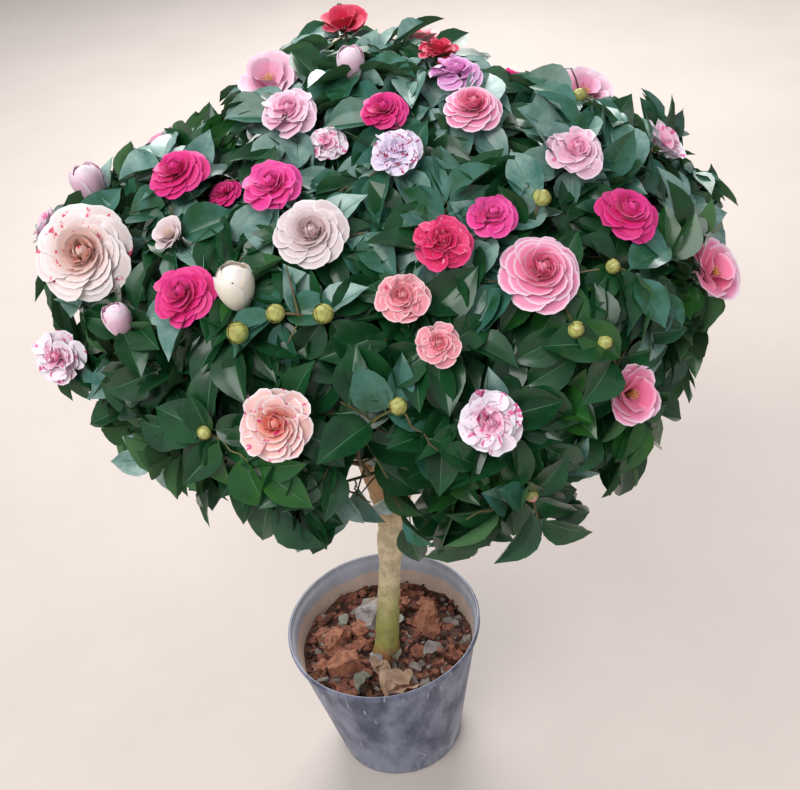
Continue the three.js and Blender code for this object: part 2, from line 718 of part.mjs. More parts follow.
// Grows one mass from the tip of its bough: a stem, then a twig to each aim from whichever free joint
// of the growth so far is the shortest way round, then the leaves
function growMass(mass, limbs, blooms, buds, shoots, covered) {
  const random = seeded(SEED + mass.index);
  const stem = massStem(mass, limbs);
  const growth = { mass, twigs: [stem], leaves: [], blooms: [], buds: [] };
  let joints = TWIG.stemJoints.map((share) => (
    { point: along(stem, share).point, toward: stem.toward, way: share * STEM.length }
  ));
  const leafy = [];
  for (const aim of aimsOf(mass, stem, blooms, buds, shoots)) {
    const spin = random() * 2 * Math.PI;
    const stray = [random() - 0.5, random() - 0.5];
    const cost = (joint) => joint.point.distanceTo(aim.tip) + TWIG.detour * joint.way;
    const others = blooms.filter((bloom) => bloom !== aim.bloom);
    const choices = [...joints].sort((a, b) => cost(a) - cost(b)).slice(0, TWIG.choices);
    const joint = choices.find((one) => twigFits(twigTo(aim, one, mass, stray).points, mass, limbs, others));
    if (!joint) continue;
    const twig = twigTo(aim, joint, mass, stray);
    growth.twigs.push(twig);
    joints = joints.filter((one) => one !== joint).concat(jointsOf(twig, joint.way));
    const [, bend, tip] = twig.points;
    const toward = tip.clone().sub(bend).normalize();
    const spacing = Math.min(LEAF.spacing, LEAF.closest * tip.distanceTo(bend));
    for (const { share, turn, count, lean } of aim.bloom ? [LEAFY.bloom] : [LEAFY.tip, LEAFY.bend]) {
      const point = bend.clone().lerp(tip, share);
      leafy.push({ point, toward, spacing, count, lean, spin: spin + turn });
    }
    if (aim.bloom) growth.blooms.push(aim.bloom);
    if (aim.bud) growth.buds.push(aim.bud);
  }
  leafy.forEach((node) => addLeaves(node, growth, limbs, blooms, covered));
  return growth;
}

// A bloom turned on its axis, with a scalloped edge
function bloomSolid({ form, centre, facing, radius }) {
  const profile = PROFILES[form].map(([x, y]) => [x * radius, y * radius]);
  const geometry = revolved(profile, BLOOM.sides);
  const position = geometry.attributes.position;
  for (let i = 0; i < position.count; i++) {
    const [x, z] = [position.getX(i), position.getZ(i)];
    const wave = 1 + BLOOM.scallop * Math.cos((Math.atan2(z, x) * BLOOM.sides) / 2);
    position.setX(i, x * wave);
    position.setZ(i, z * wave);
  }
  return solid(standAlong(geometry, facing, centre));
}

function budSolid({ centre, facing, radius }) {
  const geometry = new THREE.OctahedronGeometry(radius).scale(1, BUD_LENGTH, 1);
  return solid(standAlong(geometry, facing, centre));
}

function massSolid(growth) {
  return largest(Manifold.union([
    ...growth.twigs.map((twig) => solid(limbGeometry(twig))),
    ...growth.leaves.map(leafSolid),
    ...growth.blooms.map(bloomSolid),
    ...growth.buds.map(budSolid),
  ]));
}

// Materials
function finish(color, roughness, metalness = 0) {
  return new THREE.MeshStandardMaterial({ color, roughness, metalness });
}

const plastic = finish(0x5f6b78, 0.6);
const bark = finish(0x8d8455, 0.85);
const mixSurface = finish(0x6b4636, 0.95);
const foliage = finish(0x1f4a2c, 0.45);

// Assembly
const masses = massSpaces();
const limbs = limbSystem(masses);
const blooms = placeBlooms(masses);
const buds = placeBuds(masses);
const shoots = placeShoots(masses, blooms, buds);

const shrub = new THREE.Group();
shrub.name = 'camellia_shrub';
shrub.add(namedMesh('pot', potSolid(), plastic));
shrub.add(namedMesh('potting_mix', mixSolid(), mixSurface));

const [trunk, ...boughs] = limbs;
shrub.add(namedMesh('trunk', trunkSolid(trunk, 0), bark));
let taken = trunkSolid(trunk, GAP);
for (const bough of boughs) {
  shrub.add(namedMesh(`bough_${bough.name}`, largest(limbSolid(bough).subtract(taken)), bark));
  taken = taken.add(limbSolid(bough, GAP));
}
const covered = blooms.map((bloom) => bloom.centre);
for (const mass of masses) {
  const growth = growMass(mass, limbs, blooms, buds, shoots, covered);
  shrub.add(namedMesh(`foliage_${mass.name}`, massSolid(growth), foliage));
}

export default shrub;
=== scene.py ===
import functools
import json
import math
from types import SimpleNamespace as Record

import bpy
import numpy as np
from bpy.props import FloatProperty, FloatVectorProperty, IntProperty, PointerProperty
from mathutils import Matrix, Vector, noise

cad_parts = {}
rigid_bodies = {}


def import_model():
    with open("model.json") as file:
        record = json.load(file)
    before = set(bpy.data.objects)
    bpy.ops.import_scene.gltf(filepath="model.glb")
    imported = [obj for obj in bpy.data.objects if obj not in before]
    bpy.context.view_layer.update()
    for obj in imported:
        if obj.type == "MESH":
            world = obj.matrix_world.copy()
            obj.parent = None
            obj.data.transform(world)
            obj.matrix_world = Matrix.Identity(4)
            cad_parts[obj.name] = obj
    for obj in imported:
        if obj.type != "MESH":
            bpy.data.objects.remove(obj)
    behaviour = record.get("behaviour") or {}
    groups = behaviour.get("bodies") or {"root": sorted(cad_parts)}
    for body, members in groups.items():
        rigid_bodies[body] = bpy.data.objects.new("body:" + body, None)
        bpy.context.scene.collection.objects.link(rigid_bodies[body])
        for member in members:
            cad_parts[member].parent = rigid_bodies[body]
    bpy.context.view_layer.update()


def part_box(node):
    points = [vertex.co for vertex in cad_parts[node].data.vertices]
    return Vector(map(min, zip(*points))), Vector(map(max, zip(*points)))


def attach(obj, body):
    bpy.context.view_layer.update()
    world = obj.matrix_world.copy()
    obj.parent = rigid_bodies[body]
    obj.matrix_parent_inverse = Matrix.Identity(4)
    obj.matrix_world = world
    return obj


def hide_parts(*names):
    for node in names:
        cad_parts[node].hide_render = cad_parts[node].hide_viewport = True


# A camellia grown as a standard in a nursery pot. Places are worked out in millimetres and meshes are
# in metres: +Z is up, the origin is the centre of the pot's flat underside, and the plant's front
# faces -Y. Bearings turn from the front, 0 degrees, towards +X, 90 degrees.

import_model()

bl_info = {
    "name": "Potted camellia",
    "version": (1, 0, 0),
    "blender": (4, 5, 0),
    "location": "3D View > Sidebar > Camellia",
    "description": "Dresses a potted camellia standard: pot, mix, bark, twigs, leaves, buds and blooms",
    "category": "Add Mesh",
}

MM = 0.001
BODY = "root"
UP = np.array((0.0, 0.0, 1.0))
TURN = 2 * math.pi
GOLDEN_ANGLE = 137.508
GOLDEN_TURN = math.radians(GOLDEN_ANGLE)

_, POT_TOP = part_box("pot")

# The plant's limbs, crown and masses of foliage, sized as its solids are
GAP = 0.3
INSET = 8.0
POT_HEIGHT = float(POT_TOP[2]) / MM
RIM_RADIUS = float(POT_TOP[0]) / MM
MIX_LEVEL = 200.0
MIX_RIPPLE = Record(bump=5, ripple=15, swell=21, flat_radius=66, blend=30)
TRUNK = Record(
    foot=np.array((-3.0, -17.0, MIX_LEVEL + GAP)), fork=np.array((33.0, 0.0, 432.0)), bow=6, below=10,
    head=20, foot_radius=19, fork_radius=16.5, flare=12, flare_height=18, lobes=5, lobe_depth=0.12,
    head_swell=5, swell_from=0.75, swell_full=0.95, head_rounding=0.7, steps=9,
)
CROWN_CENTRE = np.array((78.0, 15.0, 885.0))
CROWN_HALF = np.array((410.0, 410.0, 266.0))
MASS_DEPTH = 0.62
HEART = np.array((62.0, 8.0, 672.0))
SEED = 1000

# Masses of foliage: name, bearing, height and reach, as a share of the crown's
MASSES = (
    ("lower_front", -2, -11, 1.04), ("lower_front_right", 58, -8, 1.05), ("lower_back_right", 118, -8, 1),
    ("lower_back", 178, -10, 1.02), ("lower_back_left", -122, -8, 0.99), ("lower_front_left", -62, -8, 1.03),
    ("upper_front", 2, 38, 1), ("upper_right", 88, 28, 1.12), ("upper_back", 178, 36, 0.96),
    ("upper_left", -86, 36, 1.04), ("top", -150, 84, 1.05),
)

# Boughs: name, the limb that one leaves, how far along it, and the radii of butt and tip
BOUGHS = (
    ("top", "trunk", 0.93, 12.5, 7), ("lower_front_left", "trunk", 0.9, 12, 7),
    ("lower_front_right", "trunk", 0.93, 12, 7), ("lower_back", "trunk", 0.91, 11.5, 7),
    ("lower_front", "lower_front_left", 0.24, 9, 6.5), ("lower_back_right", "lower_back", 0.28, 9, 6.5),
    ("lower_back_left", "lower_back", 0.4, 9, 6.5), ("upper_left", "lower_front_left", 0.5, 8.5, 6),
    ("upper_front", "top", 0.42, 8.5, 6), ("upper_right", "lower_front_right", 0.5, 8.5, 6),
    ("upper_back", "top", 0.52, 8, 6),
)

# How boughs, stems, twigs and sprays of leaves grow
BOUGH = Record(entry=0.52, advance=0.02, inside=12, follow=0.45, leave=0.36, arrive=0.28, steps=5)
STEM = Record(length=52, tip_radius=4.6)
TWIG = Record(
    clearance=3, bow=0.14, stray=0.16, detour=0.45, choices=5, samples=10, sink=1,
    joints=((0, 0.6), (1, 0.3)), stem_joints=(0.3, 0.5, 0.7, 0.9),
)
SHOOT = Record(count=92, depth=66, lowest=-52, from_bloom=16, from_bud=38)
SPRAY = Record(
    length=130, spread=0.1, width=0.58, widest=0.45, fold=6, droop=8, thickness=1.8, root=1.2,
    spacing=13, closest=0.27, first=0.2, ways=20, turn=2.4, nod=0.35, nodding=2.1, hang=0.12,
    lift=0.4, past=0.03, clear=3, body=0.8, checks=(0.25, 0.45, 0.7, 1),
)
LEAFY = Record(tip=(1, 0, 3, 0.35), bend=(0.1, 1, 1, 0.9), bloom=(0.8, 0, 1, 0.25))

# Blooms: bearing, height, width, share of a turn towards the light, and colour
LIGHT = np.array((0.0, -0.86, 0.51))
BLOOMS = {
    "rose": (
        (-67, 32, 113, 0.75, "blush_flecked"), (-14, 48, 77, 0.6, "blush"),
        (25, 33, 83, 0.35, "rose"), (-18, 13, 77, 0.45, "peach_flecked"),
        (11, 9, 69, 0.5, "white_streaked"), (-56, 54, 68, 0.3, "magenta"),
        (-26, 56, 67, 0.3, "hot_pink"), (-37, 34, 69, 0.3, "magenta"),
        (-70, 3, 71, 0.35, "white_streaked"), (-35, 71, 65, 0.3, "pale_pink"),
        (9, 71, 53, 0.5, "magenta"), (8, 61, 59, 0.5, "lilac_blotched"),
        (40, 65, 64, 0.3, "rose"), (11, 43, 63, 0.5, "crimson_edged"),
        (2, 35, 55, 0.4, "coral"), (47, 34, 71, 0.2, "magenta"),
        (49, 48, 65, 0.3, "pale_pink"), (6, 26, 47, 0.4, "coral"),
        (-49, 57, 41, 0, "magenta"), (-17, 69, 45, 0.3, "white_streaked"),
        (54, 72, 64, 0.1, "lilac"), (78, 77, 50, 0, "crimson"), (22, 45, 56, 0.2, "hot_pink"),
    ),
    "cup": (
        (59, 11, 78, 0.1, "rose"), (34, 1, 65, 0.2, "rose"), (87, 49, 68, 0.1, "pale_pink"),
        (81, 31, 62, 0, "white_streaked"), (-90, 23, 53, 0, "white_streaked"),
        (-116, 72, 78, 0.2, "pale_pink"), (-177, 68, 61, 0, "crimson"), (-46, 44, 40, 0, "blush"),
    ),
    "bud": (
        (-99, 30, 48, 0, "pale_pink"), (-49, 26, 35, 0.2, "pale_pink"),
        (-27, 38, 46, 0.3, "cream"), (-14, 86, 37, 0, "pale_pink"),
    ),
}
BLOOM = Record(
    back=0.22, aside=5, sink=3, neck=30, crowd=0.93, step=5, steps=10, behind=0.3, ahead=1.3, beside=0.6,
)
BACK = Record(
    count=60, facing=-0.12, lowest=-28, highest=66, widths=(68, 76, 60, 72), clear=84,
    colours=("rose", "magenta", "pale_pink", "hot_pink", "blush_flecked", "coral", "white_streaked"),
)

# Closed buds: bearing, height and width
BUDS = (
    (-11, 34, 19), (-1, 16, 17), (27, 21, 17), (31, 16, 16), (16, -13, 16), (-31, 9, 14),
    (-25, 30, 21), (-19, 34, 18), (38, 28, 15), (34, 45, 18), (-44, 55, 18), (74, 53, 15),
)


def seeded(seed):
    """Random numbers from 0 to 1, the same ones for the same seed."""
    state = seed
    while True:
        state = (state * 1664525 + 1013904223) % 2**32
        yield state / 2**32


def unit(vector):
    """The vector or row of vectors at length 1."""
    vector = np.asarray(vector, float)
    return vector / np.linalg.norm(vector, axis=-1, keepdims=True)


def lerp(start, end, share):
    """Value a share of the way from start to end."""
    return start + (end - start) * share


def smoothstep(value, low, high):
    """0 below low, 1 above high and smooth between."""
    share = np.clip((value - low) / (high - low), 0, 1)
    return share * share * (3 - 2 * share)


def direction(bearing, height):
    """Unit vector at a bearing and a height in degrees."""
    b, h = math.radians(bearing), math.radians(height)
    return np.array((math.sin(b) * math.cos(h), -math.cos(b) * math.cos(h), math.sin(h)))


def on_crown(toward, share=1.0):
    """Point of the crown's ellipsoid, scaled about its centre."""
    return CROWN_CENTRE + toward * CROWN_HALF * share


def outward(point):
    """Direction square to the crown's ellipsoid."""
    return unit((point - CROWN_CENTRE) / CROWN_HALF**2)


def share_of_crown(point):
    """How far out a point lies, as a share of the way to the crown's surface."""
    return np.linalg.norm((point - CROWN_CENTRE) / CROWN_HALF, axis=-1)


def across(axis):
    """Two unit vectors that stand square to a direction and to each other."""
    guide = UP if abs(axis[2]) < 0.9 else np.array((1.0, 0.0, 0.0))
    side = unit(np.cross(guide, axis))
    return side, np.cross(axis, side)


def around(side, other, angle):
    """Direction at an angle from side towards other."""
    return side * math.cos(angle) + other * math.sin(angle)


def square_to(axis, face):
    """Unit vector square to an axis, as near as can be to a face's direction."""
    return unit(face - axis * (face @ axis))


def ahead_and_beside(offsets, ways):
    """How far places lie along each of some ways, and how far beside them."""
    ahead = np.sum(offsets * ways, axis=2)
    return ahead, np.linalg.norm(offsets - ahead[..., None] * ways, axis=2)


def bezier(points, steps):
    """Even steps along a cubic curve."""
    t = np.linspace(0, 1, steps + 1)[:, None]
    a, b, c, d = points
    return (1 - t) ** 3 * a + 3 * (1 - t) ** 2 * t * b + 3 * (1 - t) * t**2 * c + t**3 * d


def along(points, share):
    """Place and direction at a share of the way along a row of points."""
    at = share * (len(points) - 1)
    start = min(int(at), len(points) - 2)
    toward = points[start + 1] - points[start]
    return points[start] + toward * (at - start), unit(toward)


def trunk_limb():
    """The trunk's controls, line and radii."""
    rise = unit(TRUNK.fork - TRUNK.foot)
    side, _ = across(rise)
    start = TRUNK.foot - rise * TRUNK.below
    end = TRUNK.fork + rise * TRUNK.head
    bends = [lerp(start, end, 1 / 3) + side * TRUNK.bow, lerp(start, end, 2 / 3) - side * TRUNK.bow]
    controls = (start, *bends, end)
    points = bezier(controls, TRUNK.steps)
    return Record(controls=controls, points=points, radii=trunk_radii(points[:, 2], TRUNK.head_rounding))


def trunk_radii(heights, rounding):
    """Radius of the trunk at each height, with its flare, its swelling head and its rounded end."""
    height = np.maximum(heights - TRUNK.foot[2], 0)
    share = height / (TRUNK.fork[2] - TRUNK.foot[2])
    shaft = lerp(TRUNK.foot_radius, TRUNK.fork_radius, np.minimum(share, 1))
    flare = TRUNK.flare * np.exp(-height / TRUNK.flare_height)
    swell = TRUNK.head_swell * smoothstep(share, TRUNK.swell_from, TRUNK.swell_full)
    radii = shaft + flare + swell
    radii[-1] *= rounding
    return radii


def mass_spaces():
    """The masses' centres, and the walls halfway to their neighbours that bound their spaces."""
    masses = []
    for index, (name, bearing, height, reach) in enumerate(MASSES):
        centre = on_crown(direction(bearing, height), MASS_DEPTH * reach)
        masses.append(Record(name=name, index=index, reach=reach, centre=centre))
    for mass in masses:
        others = np.array([other.centre for other in masses if other is not mass])
        mass.normals = unit(others - mass.centre)
        mass.offsets = np.sum(mass.normals * (mass.centre + others) / 2, axis=1)
    return masses


def nearest_mass(masses, point):
    """The mass whose centre is nearest to a point."""
    return min(masses, key=lambda mass: np.linalg.norm(mass.centre - point))


def inside_space(mass, points, margin):
    """True where every point lies inside the mass's space by a margin."""
    return bool(np.all(np.atleast_2d(points) @ mass.normals.T - mass.offsets < -margin))


def kept_inside(mass, point, margin):
    """The point, moved the least way that keeps it inside the mass's space."""
    kept = np.array(point, float)
    for normal, offset in zip(mass.normals, mass.offsets):
        over = kept @ normal - offset + margin
        if over > 0:
            kept -= normal * over
    return kept


def entry_of(mass):
    """Where the line from the crown's heart to a mass's centre enters the mass's space."""
    share = BOUGH.entry
    while not inside_space(mass, lerp(HEART, mass.centre, share), BOUGH.inside):
        share += BOUGH.advance
    return lerp(HEART, mass.centre, share)


def limb_system(masses):
    """The trunk, and each bough after the limb that it leaves."""
    limbs = {"trunk": trunk_limb()}
    for name, parent, at, butt, tip in BOUGHS:
        mass = next(mass for mass in masses if mass.name == name)
        start, toward = along(limbs[parent].points, at)
        end = entry_of(mass)
        reach = np.linalg.norm(end - start)
        straight = unit(end - start)
        leaving = unit(lerp(straight, toward, BOUGH.follow))
        arriving = unit(unit(mass.centre - end) + straight)
        controls = (start, start + leaving * reach * BOUGH.leave, end - arriving * reach * BOUGH.arrive, end)
        points = bezier(controls, BOUGH.steps)
        radii = np.linspace(butt, tip, BOUGH.steps + 1)
        limbs[name] = Record(controls=controls, points=points, radii=radii)
    return limbs


def even_directions(count):
    """Bearings and heights spread evenly over the crown's surface."""
    radius, half_height = CROWN_HALF[1], CROWN_HALF[2]

    def area(t):
        return half_height * t + (radius - half_height) * t**3 / 3

    spread = []
    for i in range(count):
        wanted = area(1) * ((2 * i + 1) / count - 1)
        low, high = -1.0, 1.0
        while high - low > 1e-7:
            middle = (low + high) / 2
            if area(middle) < wanted:
                low = middle
            else:
                high = middle
        spread.append(((i * GOLDEN_ANGLE) % 360 - 180, math.degrees(math.asin(low))))
    return spread


def place_blooms(masses):
    """Every bloom on the crown. One that would crowd an earlier bloom sits deeper."""
    blooms = []

    def add(form, bearing, height, width, turn, colour):
        centre = on_crown(direction(bearing, height))
        normal = outward(centre)
        radius = width / 2
        for _ in range(BLOOM.steps):
            if not any(
                np.linalg.norm(other.centre - centre) < BLOOM.crowd * (other.radius + radius)
                for other in blooms
            ):
                break
            centre = centre - normal * BLOOM.step
        mass = nearest_mass(masses, centre)
        facing = unit(lerp(normal, LIGHT, turn))
        blooms.append(Record(
            form=form, radius=radius, facing=facing, mass=mass, colour=colour,
            centre=kept_inside(mass, centre, INSET),
        ))

    for form, rows in BLOOMS.items():
        for row in rows:
            add(form, *row)
    front = np.array([bloom.centre for bloom in blooms])
    back = []
    for bearing, height in even_directions(BACK.count):
        toward = direction(bearing, height)
        free = np.all(np.linalg.norm(front - on_crown(toward), axis=1) > BACK.clear)
        if free and toward @ LIGHT < BACK.facing and BACK.lowest < height < BACK.highest:
            back.append((bearing, height))
    for i, (bearing, height) in enumerate(back):
        width = BACK.widths[i % len(BACK.widths)]
        add("rose" if i % 3 else "cup", bearing, height, width, 0, BACK.colours[i % len(BACK.colours)])
    return blooms


def place_buds(masses):
    """Every closed bud."""
    buds = []
    for bearing, height, width in BUDS:
        centre = on_crown(direction(bearing, height))
        mass = nearest_mass(masses, centre)
        buds.append(Record(
            centre=kept_inside(mass, centre, width), radius=width / 2, mass=mass, facing=outward(centre),
        ))
    return buds


def place_shoots(masses, blooms, buds):
    """Leafy shoots even over the crown, clear of its underside, of blooms and of buds."""
    shoots = []
    for bearing, height in even_directions(SHOOT.count):
        toward = direction(bearing, height)
        surface = on_crown(toward, nearest_mass(masses, on_crown(toward)).reach)
        tip = surface - outward(surface) * SHOOT.depth

        def near(pieces, clear):
            return any(np.linalg.norm(piece.centre - tip) < piece.radius + clear for piece in pieces)

        if height < SHOOT.lowest or near(blooms, SHOOT.from_bloom) or near(buds, SHOOT.from_bud):
            continue
        mass = nearest_mass(masses, tip)
        shoots.append(Record(tip=kept_inside(mass, tip, INSET), mass=mass))
    return shoots


class Obstacles:
    """The limbs and blooms that twigs and leaves keep clear of, as arrays."""

    def __init__(self, limbs, blooms):
        limbs = list(limbs)
        self.starts = np.concatenate([limb.points[:-1] for limb in limbs])
        self.spans = np.concatenate([limb.points[1:] for limb in limbs]) - self.starts
        self.start_radii = np.concatenate([limb.radii[:-1] for limb in limbs])
        self.end_radii = np.concatenate([limb.radii[1:] for limb in limbs])
        self.centres = np.array([bloom.centre for bloom in blooms])
        self.facings = np.array([bloom.facing for bloom in blooms])
        self.radii = np.array([bloom.radius for bloom in blooms])
        self.masses = np.array([bloom.mass.index for bloom in blooms])

    def from_limbs(self, points):
        """Distance from each point to the nearest limb's surface."""
        offsets = points[:, None] - self.starts
        shares = np.sum(offsets * self.spans, axis=2) / np.sum(self.spans**2, axis=1)
        shares = np.clip(shares, 0, 1)
        away = np.linalg.norm(offsets - shares[..., None] * self.spans, axis=2)
        return np.min(away - lerp(self.start_radii, self.end_radii, shares), axis=1)

    def clear_of_blooms(self, points, radii, mass, skipped=None):
        """True where every point clears every bloom: the mass's own leaves may pass behind one."""
        offsets = points[:, None] - self.centres
        radii = np.broadcast_to(radii, len(points))[:, None]
        ahead, beside = ahead_and_beside(offsets, self.facings)
        passing = (ahead < -BLOOM.behind * self.radii) | (ahead > BLOOM.ahead * self.radii)
        passing |= beside > self.radii + BLOOM.beside * radii
        apart = np.linalg.norm(offsets, axis=2) > self.radii + radii
        clear = np.where(self.masses == mass.index, passing, apart)
        if skipped is not None:
            clear[:, skipped] = True
        return bool(np.all(clear))


def spray_corners(root, axis, face, length):
    """Corners of the blade that a spray of leaves fills: root top and under, left, right, rib and tip."""
    side = np.cross(face, axis)
    half = SPRAY.width * length / 2
    middle = root + axis * SPRAY.widest * length
    sag = -SPRAY.droop * SPRAY.widest - SPRAY.root / 2 + SPRAY.thickness
    return np.array((
        root + face * SPRAY.root, root - face * SPRAY.root, middle + side * half + face * SPRAY.fold,
        middle - side * half + face * SPRAY.fold, middle + face * sag,
        root + axis * length - face * SPRAY.droop,
    ))


def blade_of(corners):
    """Edges and halves of a spray's blade."""
    top, _, left, right, _, tip = corners
    edges = np.array(((top, left), (left, tip), (tip, right), (right, top), (top, tip)))
    return edges, np.array(((top, left, tip), (top, tip, right)))


def pierced(edges, triangles):
    """True where any straight edge passes through any triangle."""
    if not len(edges) or not len(triangles):
        return False
    start = edges[:, None, 0]
    toward = edges[:, None, 1] - start
    reach = np.linalg.norm(toward, axis=2)
    toward = toward / reach[..., None]
    corner = triangles[None, :, 0]
    first = triangles[None, :, 1] - corner
    second = triangles[None, :, 2] - corner
    normal = np.cross(first, second)
    slope = np.sum(toward * normal, axis=2)
    sign = np.sign(slope)
    offset = start - corner
    u = sign * np.sum(toward * np.cross(offset, second), axis=2)
    v = sign * np.sum(toward * np.cross(first, offset), axis=2)
    depth = -sign * np.sum(offset * normal, axis=2)
    size = np.abs(slope)
    hit = (sign != 0) & (u >= 0) & (v >= 0) & (u + v <= size) & (depth >= 0)
    return bool(np.any(hit & (depth < reach * size)))


def spray_fits(spray, growth, obstacles):
    """True where a spray keeps to its mass's space, clear of limbs, blooms, twigs and other sprays."""
    mass = growth.mass
    corners = spray_corners(spray.root, spray.axis, spray.face, spray.length)
    if share_of_crown(corners[-1]) > mass.reach + SPRAY.past:
        return False
    if not inside_space(mass, corners, GAP):
        return False
    shares = np.array(SPRAY.checks, float)
    taper = np.minimum(shares / SPRAY.widest, (1 - shares) / (1 - SPRAY.widest))
    radii = SPRAY.width * spray.length * taper / 2 * SPRAY.body + SPRAY.clear
    points = spray.root + spray.axis * (shares * spray.length)[:, None]
    if not obstacles.clear_of_blooms(points, radii, mass):
        return False
    if np.any(obstacles.from_limbs(points) <= radii):
        return False
    edges, halves = blade_of(corners)
    if pierced(growth.strokes, halves):
        return False
    return not (pierced(edges, growth.halves) or pierced(growth.edges, halves))


def add_sprays(node, growth, obstacles, covered):
    """Sprays that grow back from a node of a twig, each where the room around it is greatest."""
    out = outward(node.point)
    side, other = across(out)
    for i in range(node.count):
        root = node.point - node.toward * (i + SPRAY.first) * node.spacing
        length = SPRAY.length * (1 + SPRAY.spread * math.sin(3 * node.spin + 2 * i))
        ways = []
        for way in range(SPRAY.ways):
            rise = node.lean + SPRAY.nod * math.sin(way * SPRAY.nodding)
            axis = around(side, other, node.spin + way * SPRAY.turn) + out * rise
            axis = unit(axis - UP * SPRAY.hang)
            face = square_to(axis, out + UP * SPRAY.lift)
            spray = Record(root=root, axis=axis, face=face, length=length)
            if spray_fits(spray, growth, obstacles):
                ways.append(spray)
        if not ways:
            continue
        places = np.array(covered)
        rooms = [
            np.min(np.linalg.norm(places - spray.root - spray.axis * spray.length / 2, axis=1))
            for spray in ways
        ]
        best = ways[int(np.argmax(rooms))]
        edges, halves = blade_of(spray_corners(best.root, best.axis, best.face, best.length))
        growth.sprays.append(best)
        growth.edges = np.concatenate((growth.edges, edges))
        growth.halves = np.concatenate((growth.halves, halves))
        covered.append(best.root + best.axis * best.length / 2)


def twig_fits(points, mass, obstacles, skipped):
    """True where a twig keeps to its mass's space, clear of limbs and of other blooms."""
    if not inside_space(mass, points, TWIG.clearance + GAP):
        return False
    shares = np.arange(1, TWIG.samples + 1)[:, None] / TWIG.samples
    samples = np.concatenate([lerp(start, end, shares) for start, end in zip(points, points[1:])])
    if not obstacles.clear_of_blooms(samples, TWIG.clearance, mass, skipped):
        return False
    return bool(np.all(obstacles.from_limbs(samples) > TWIG.clearance + 2 * GAP))


def aims_of(mass, stem_tip, blooms, buds, shoots):
    """What the mass's twigs reach for, nearest first."""
    aims = []
    for index, bloom in enumerate(blooms):
        if bloom.mass is mass:
            back = bloom.radius * BLOOM.back
            side, _ = across(bloom.facing)
            tip = bloom.centre - bloom.facing * (back - BLOOM.sink) + side * BLOOM.aside
            bend = bloom.centre - bloom.facing * (back + BLOOM.neck)
            aims.append(Record(tip=tip, bend=bend, bloom=index, bud=None))
    aims += [Record(tip=bud.centre, bend=None, bloom=None, bud=bud) for bud in buds if bud.mass is mass]
    aims += [Record(tip=shoot.tip, bend=None, bloom=None, bud=None) for shoot in shoots if shoot.mass is mass]
    return sorted(aims, key=lambda aim: np.linalg.norm(aim.tip - stem_tip))


def twig_to(aim, joint, mass, stray):
    """A bent twig from a joint to an aim."""
    reach = np.linalg.norm(aim.tip - joint.point)
    middle = lerp(joint.point, aim.tip, 0.5) + joint.toward * reach * TWIG.bow
    for side, share in zip(across(unit(aim.tip - joint.point)), stray):
        middle = middle + side * reach * TWIG.stray * share
    start = joint.point - joint.toward * TWIG.sink
    bend = middle if aim.bend is None else aim.bend
    return np.array((start, kept_inside(mass, bend, INSET), aim.tip))


def grow_mass(mass, limbs, obstacles, blooms, buds, shoots, covered):
    """One mass: a stem, a twig to each aim from the free joint that is the shortest way, then sprays."""
    draw = seeded(SEED + mass.index)
    bough = limbs[mass.name]
    toward = unit(bough.points[-1] - bough.points[-2])
    start = bough.points[-1] + toward * GAP
    stem = np.array([start + toward * STEM.length * share for share in (0, 0.5, 1)])
    growth = Record(
        mass=mass, stem=stem, twigs=[], sprays=[], blooms=[], buds=[],
        edges=np.zeros((0, 2, 3)), halves=np.zeros((0, 3, 3)),
    )
    joints = [
        Record(point=along(stem, share)[0], toward=toward, way=share * STEM.length, twig=None)
        for share in TWIG.stem_joints
    ]
    nodes = []
    for aim in aims_of(mass, stem[-1], blooms, buds, shoots):
        spin = next(draw) * TURN
        stray = (next(draw) - 0.5, next(draw) - 0.5)
        choices = sorted(
            joints, key=lambda one: np.linalg.norm(one.point - aim.tip) + TWIG.detour * one.way
        )
        for joint in choices[:TWIG.choices]:
            points = twig_to(aim, joint, mass, stray)
            if twig_fits(points, mass, obstacles, aim.bloom):
                break
        else:
            continue
        twig = Record(points=points, parent=joint.twig, tips=1, bloom=aim.bloom, bud=aim.bud)
        growth.twigs.append(twig)
        joints = [one for one in joints if one is not joint]
        for leg, share in TWIG.joints:
            point = lerp(points[leg], points[leg + 1], share)
            way = joint.way + np.linalg.norm(point - points[0])
            onward = unit(points[leg + 1] - points[leg])
            joints.append(Record(point=point, toward=onward, way=way, twig=twig))
        reach = np.linalg.norm(points[2] - points[1])
        spacing = min(SPRAY.spacing, SPRAY.closest * reach)
        for share, turn, count, lean in [LEAFY.tip, LEAFY.bend] if aim.bloom is None else [LEAFY.bloom]:
            nodes.append(Record(
                point=lerp(points[1], points[2], share), toward=unit(points[2] - points[1]),
                spacing=spacing, count=count, lean=lean, spin=spin + turn,
            ))
        if aim.bloom is not None:
            growth.blooms.append(aim.bloom)
        if aim.bud is not None:
            growth.buds.append(aim.bud)
    rows = [stem] + [twig.points for twig in growth.twigs]
    growth.strokes = np.concatenate([np.stack((row[:-1], row[1:]), axis=1) for row in rows])
    for node in nodes:
        add_sprays(node, growth, obstacles, covered)
    for twig in reversed(growth.twigs):
        if twig.parent is not None:
            twig.parent.tips += twig.tips
    return growth


@functools.cache
def grow_plant():
    """The whole plant: masses, limbs, blooms, buds and each mass's growth."""
    masses = mass_spaces()
    limbs = limb_system(masses)
    blooms = place_blooms(masses)
    buds = place_buds(masses)
    shoots = place_shoots(masses, blooms, buds)
    obstacles = Obstacles(limbs.values(), blooms)
    covered = [bloom.centre for bloom in blooms]
    growths = [grow_mass(mass, limbs, obstacles, blooms, buds, shoots, covered) for mass in masses]
    return Record(limbs=limbs, blooms=blooms, buds=buds, obstacles=obstacles, growths=growths)


# Meshes


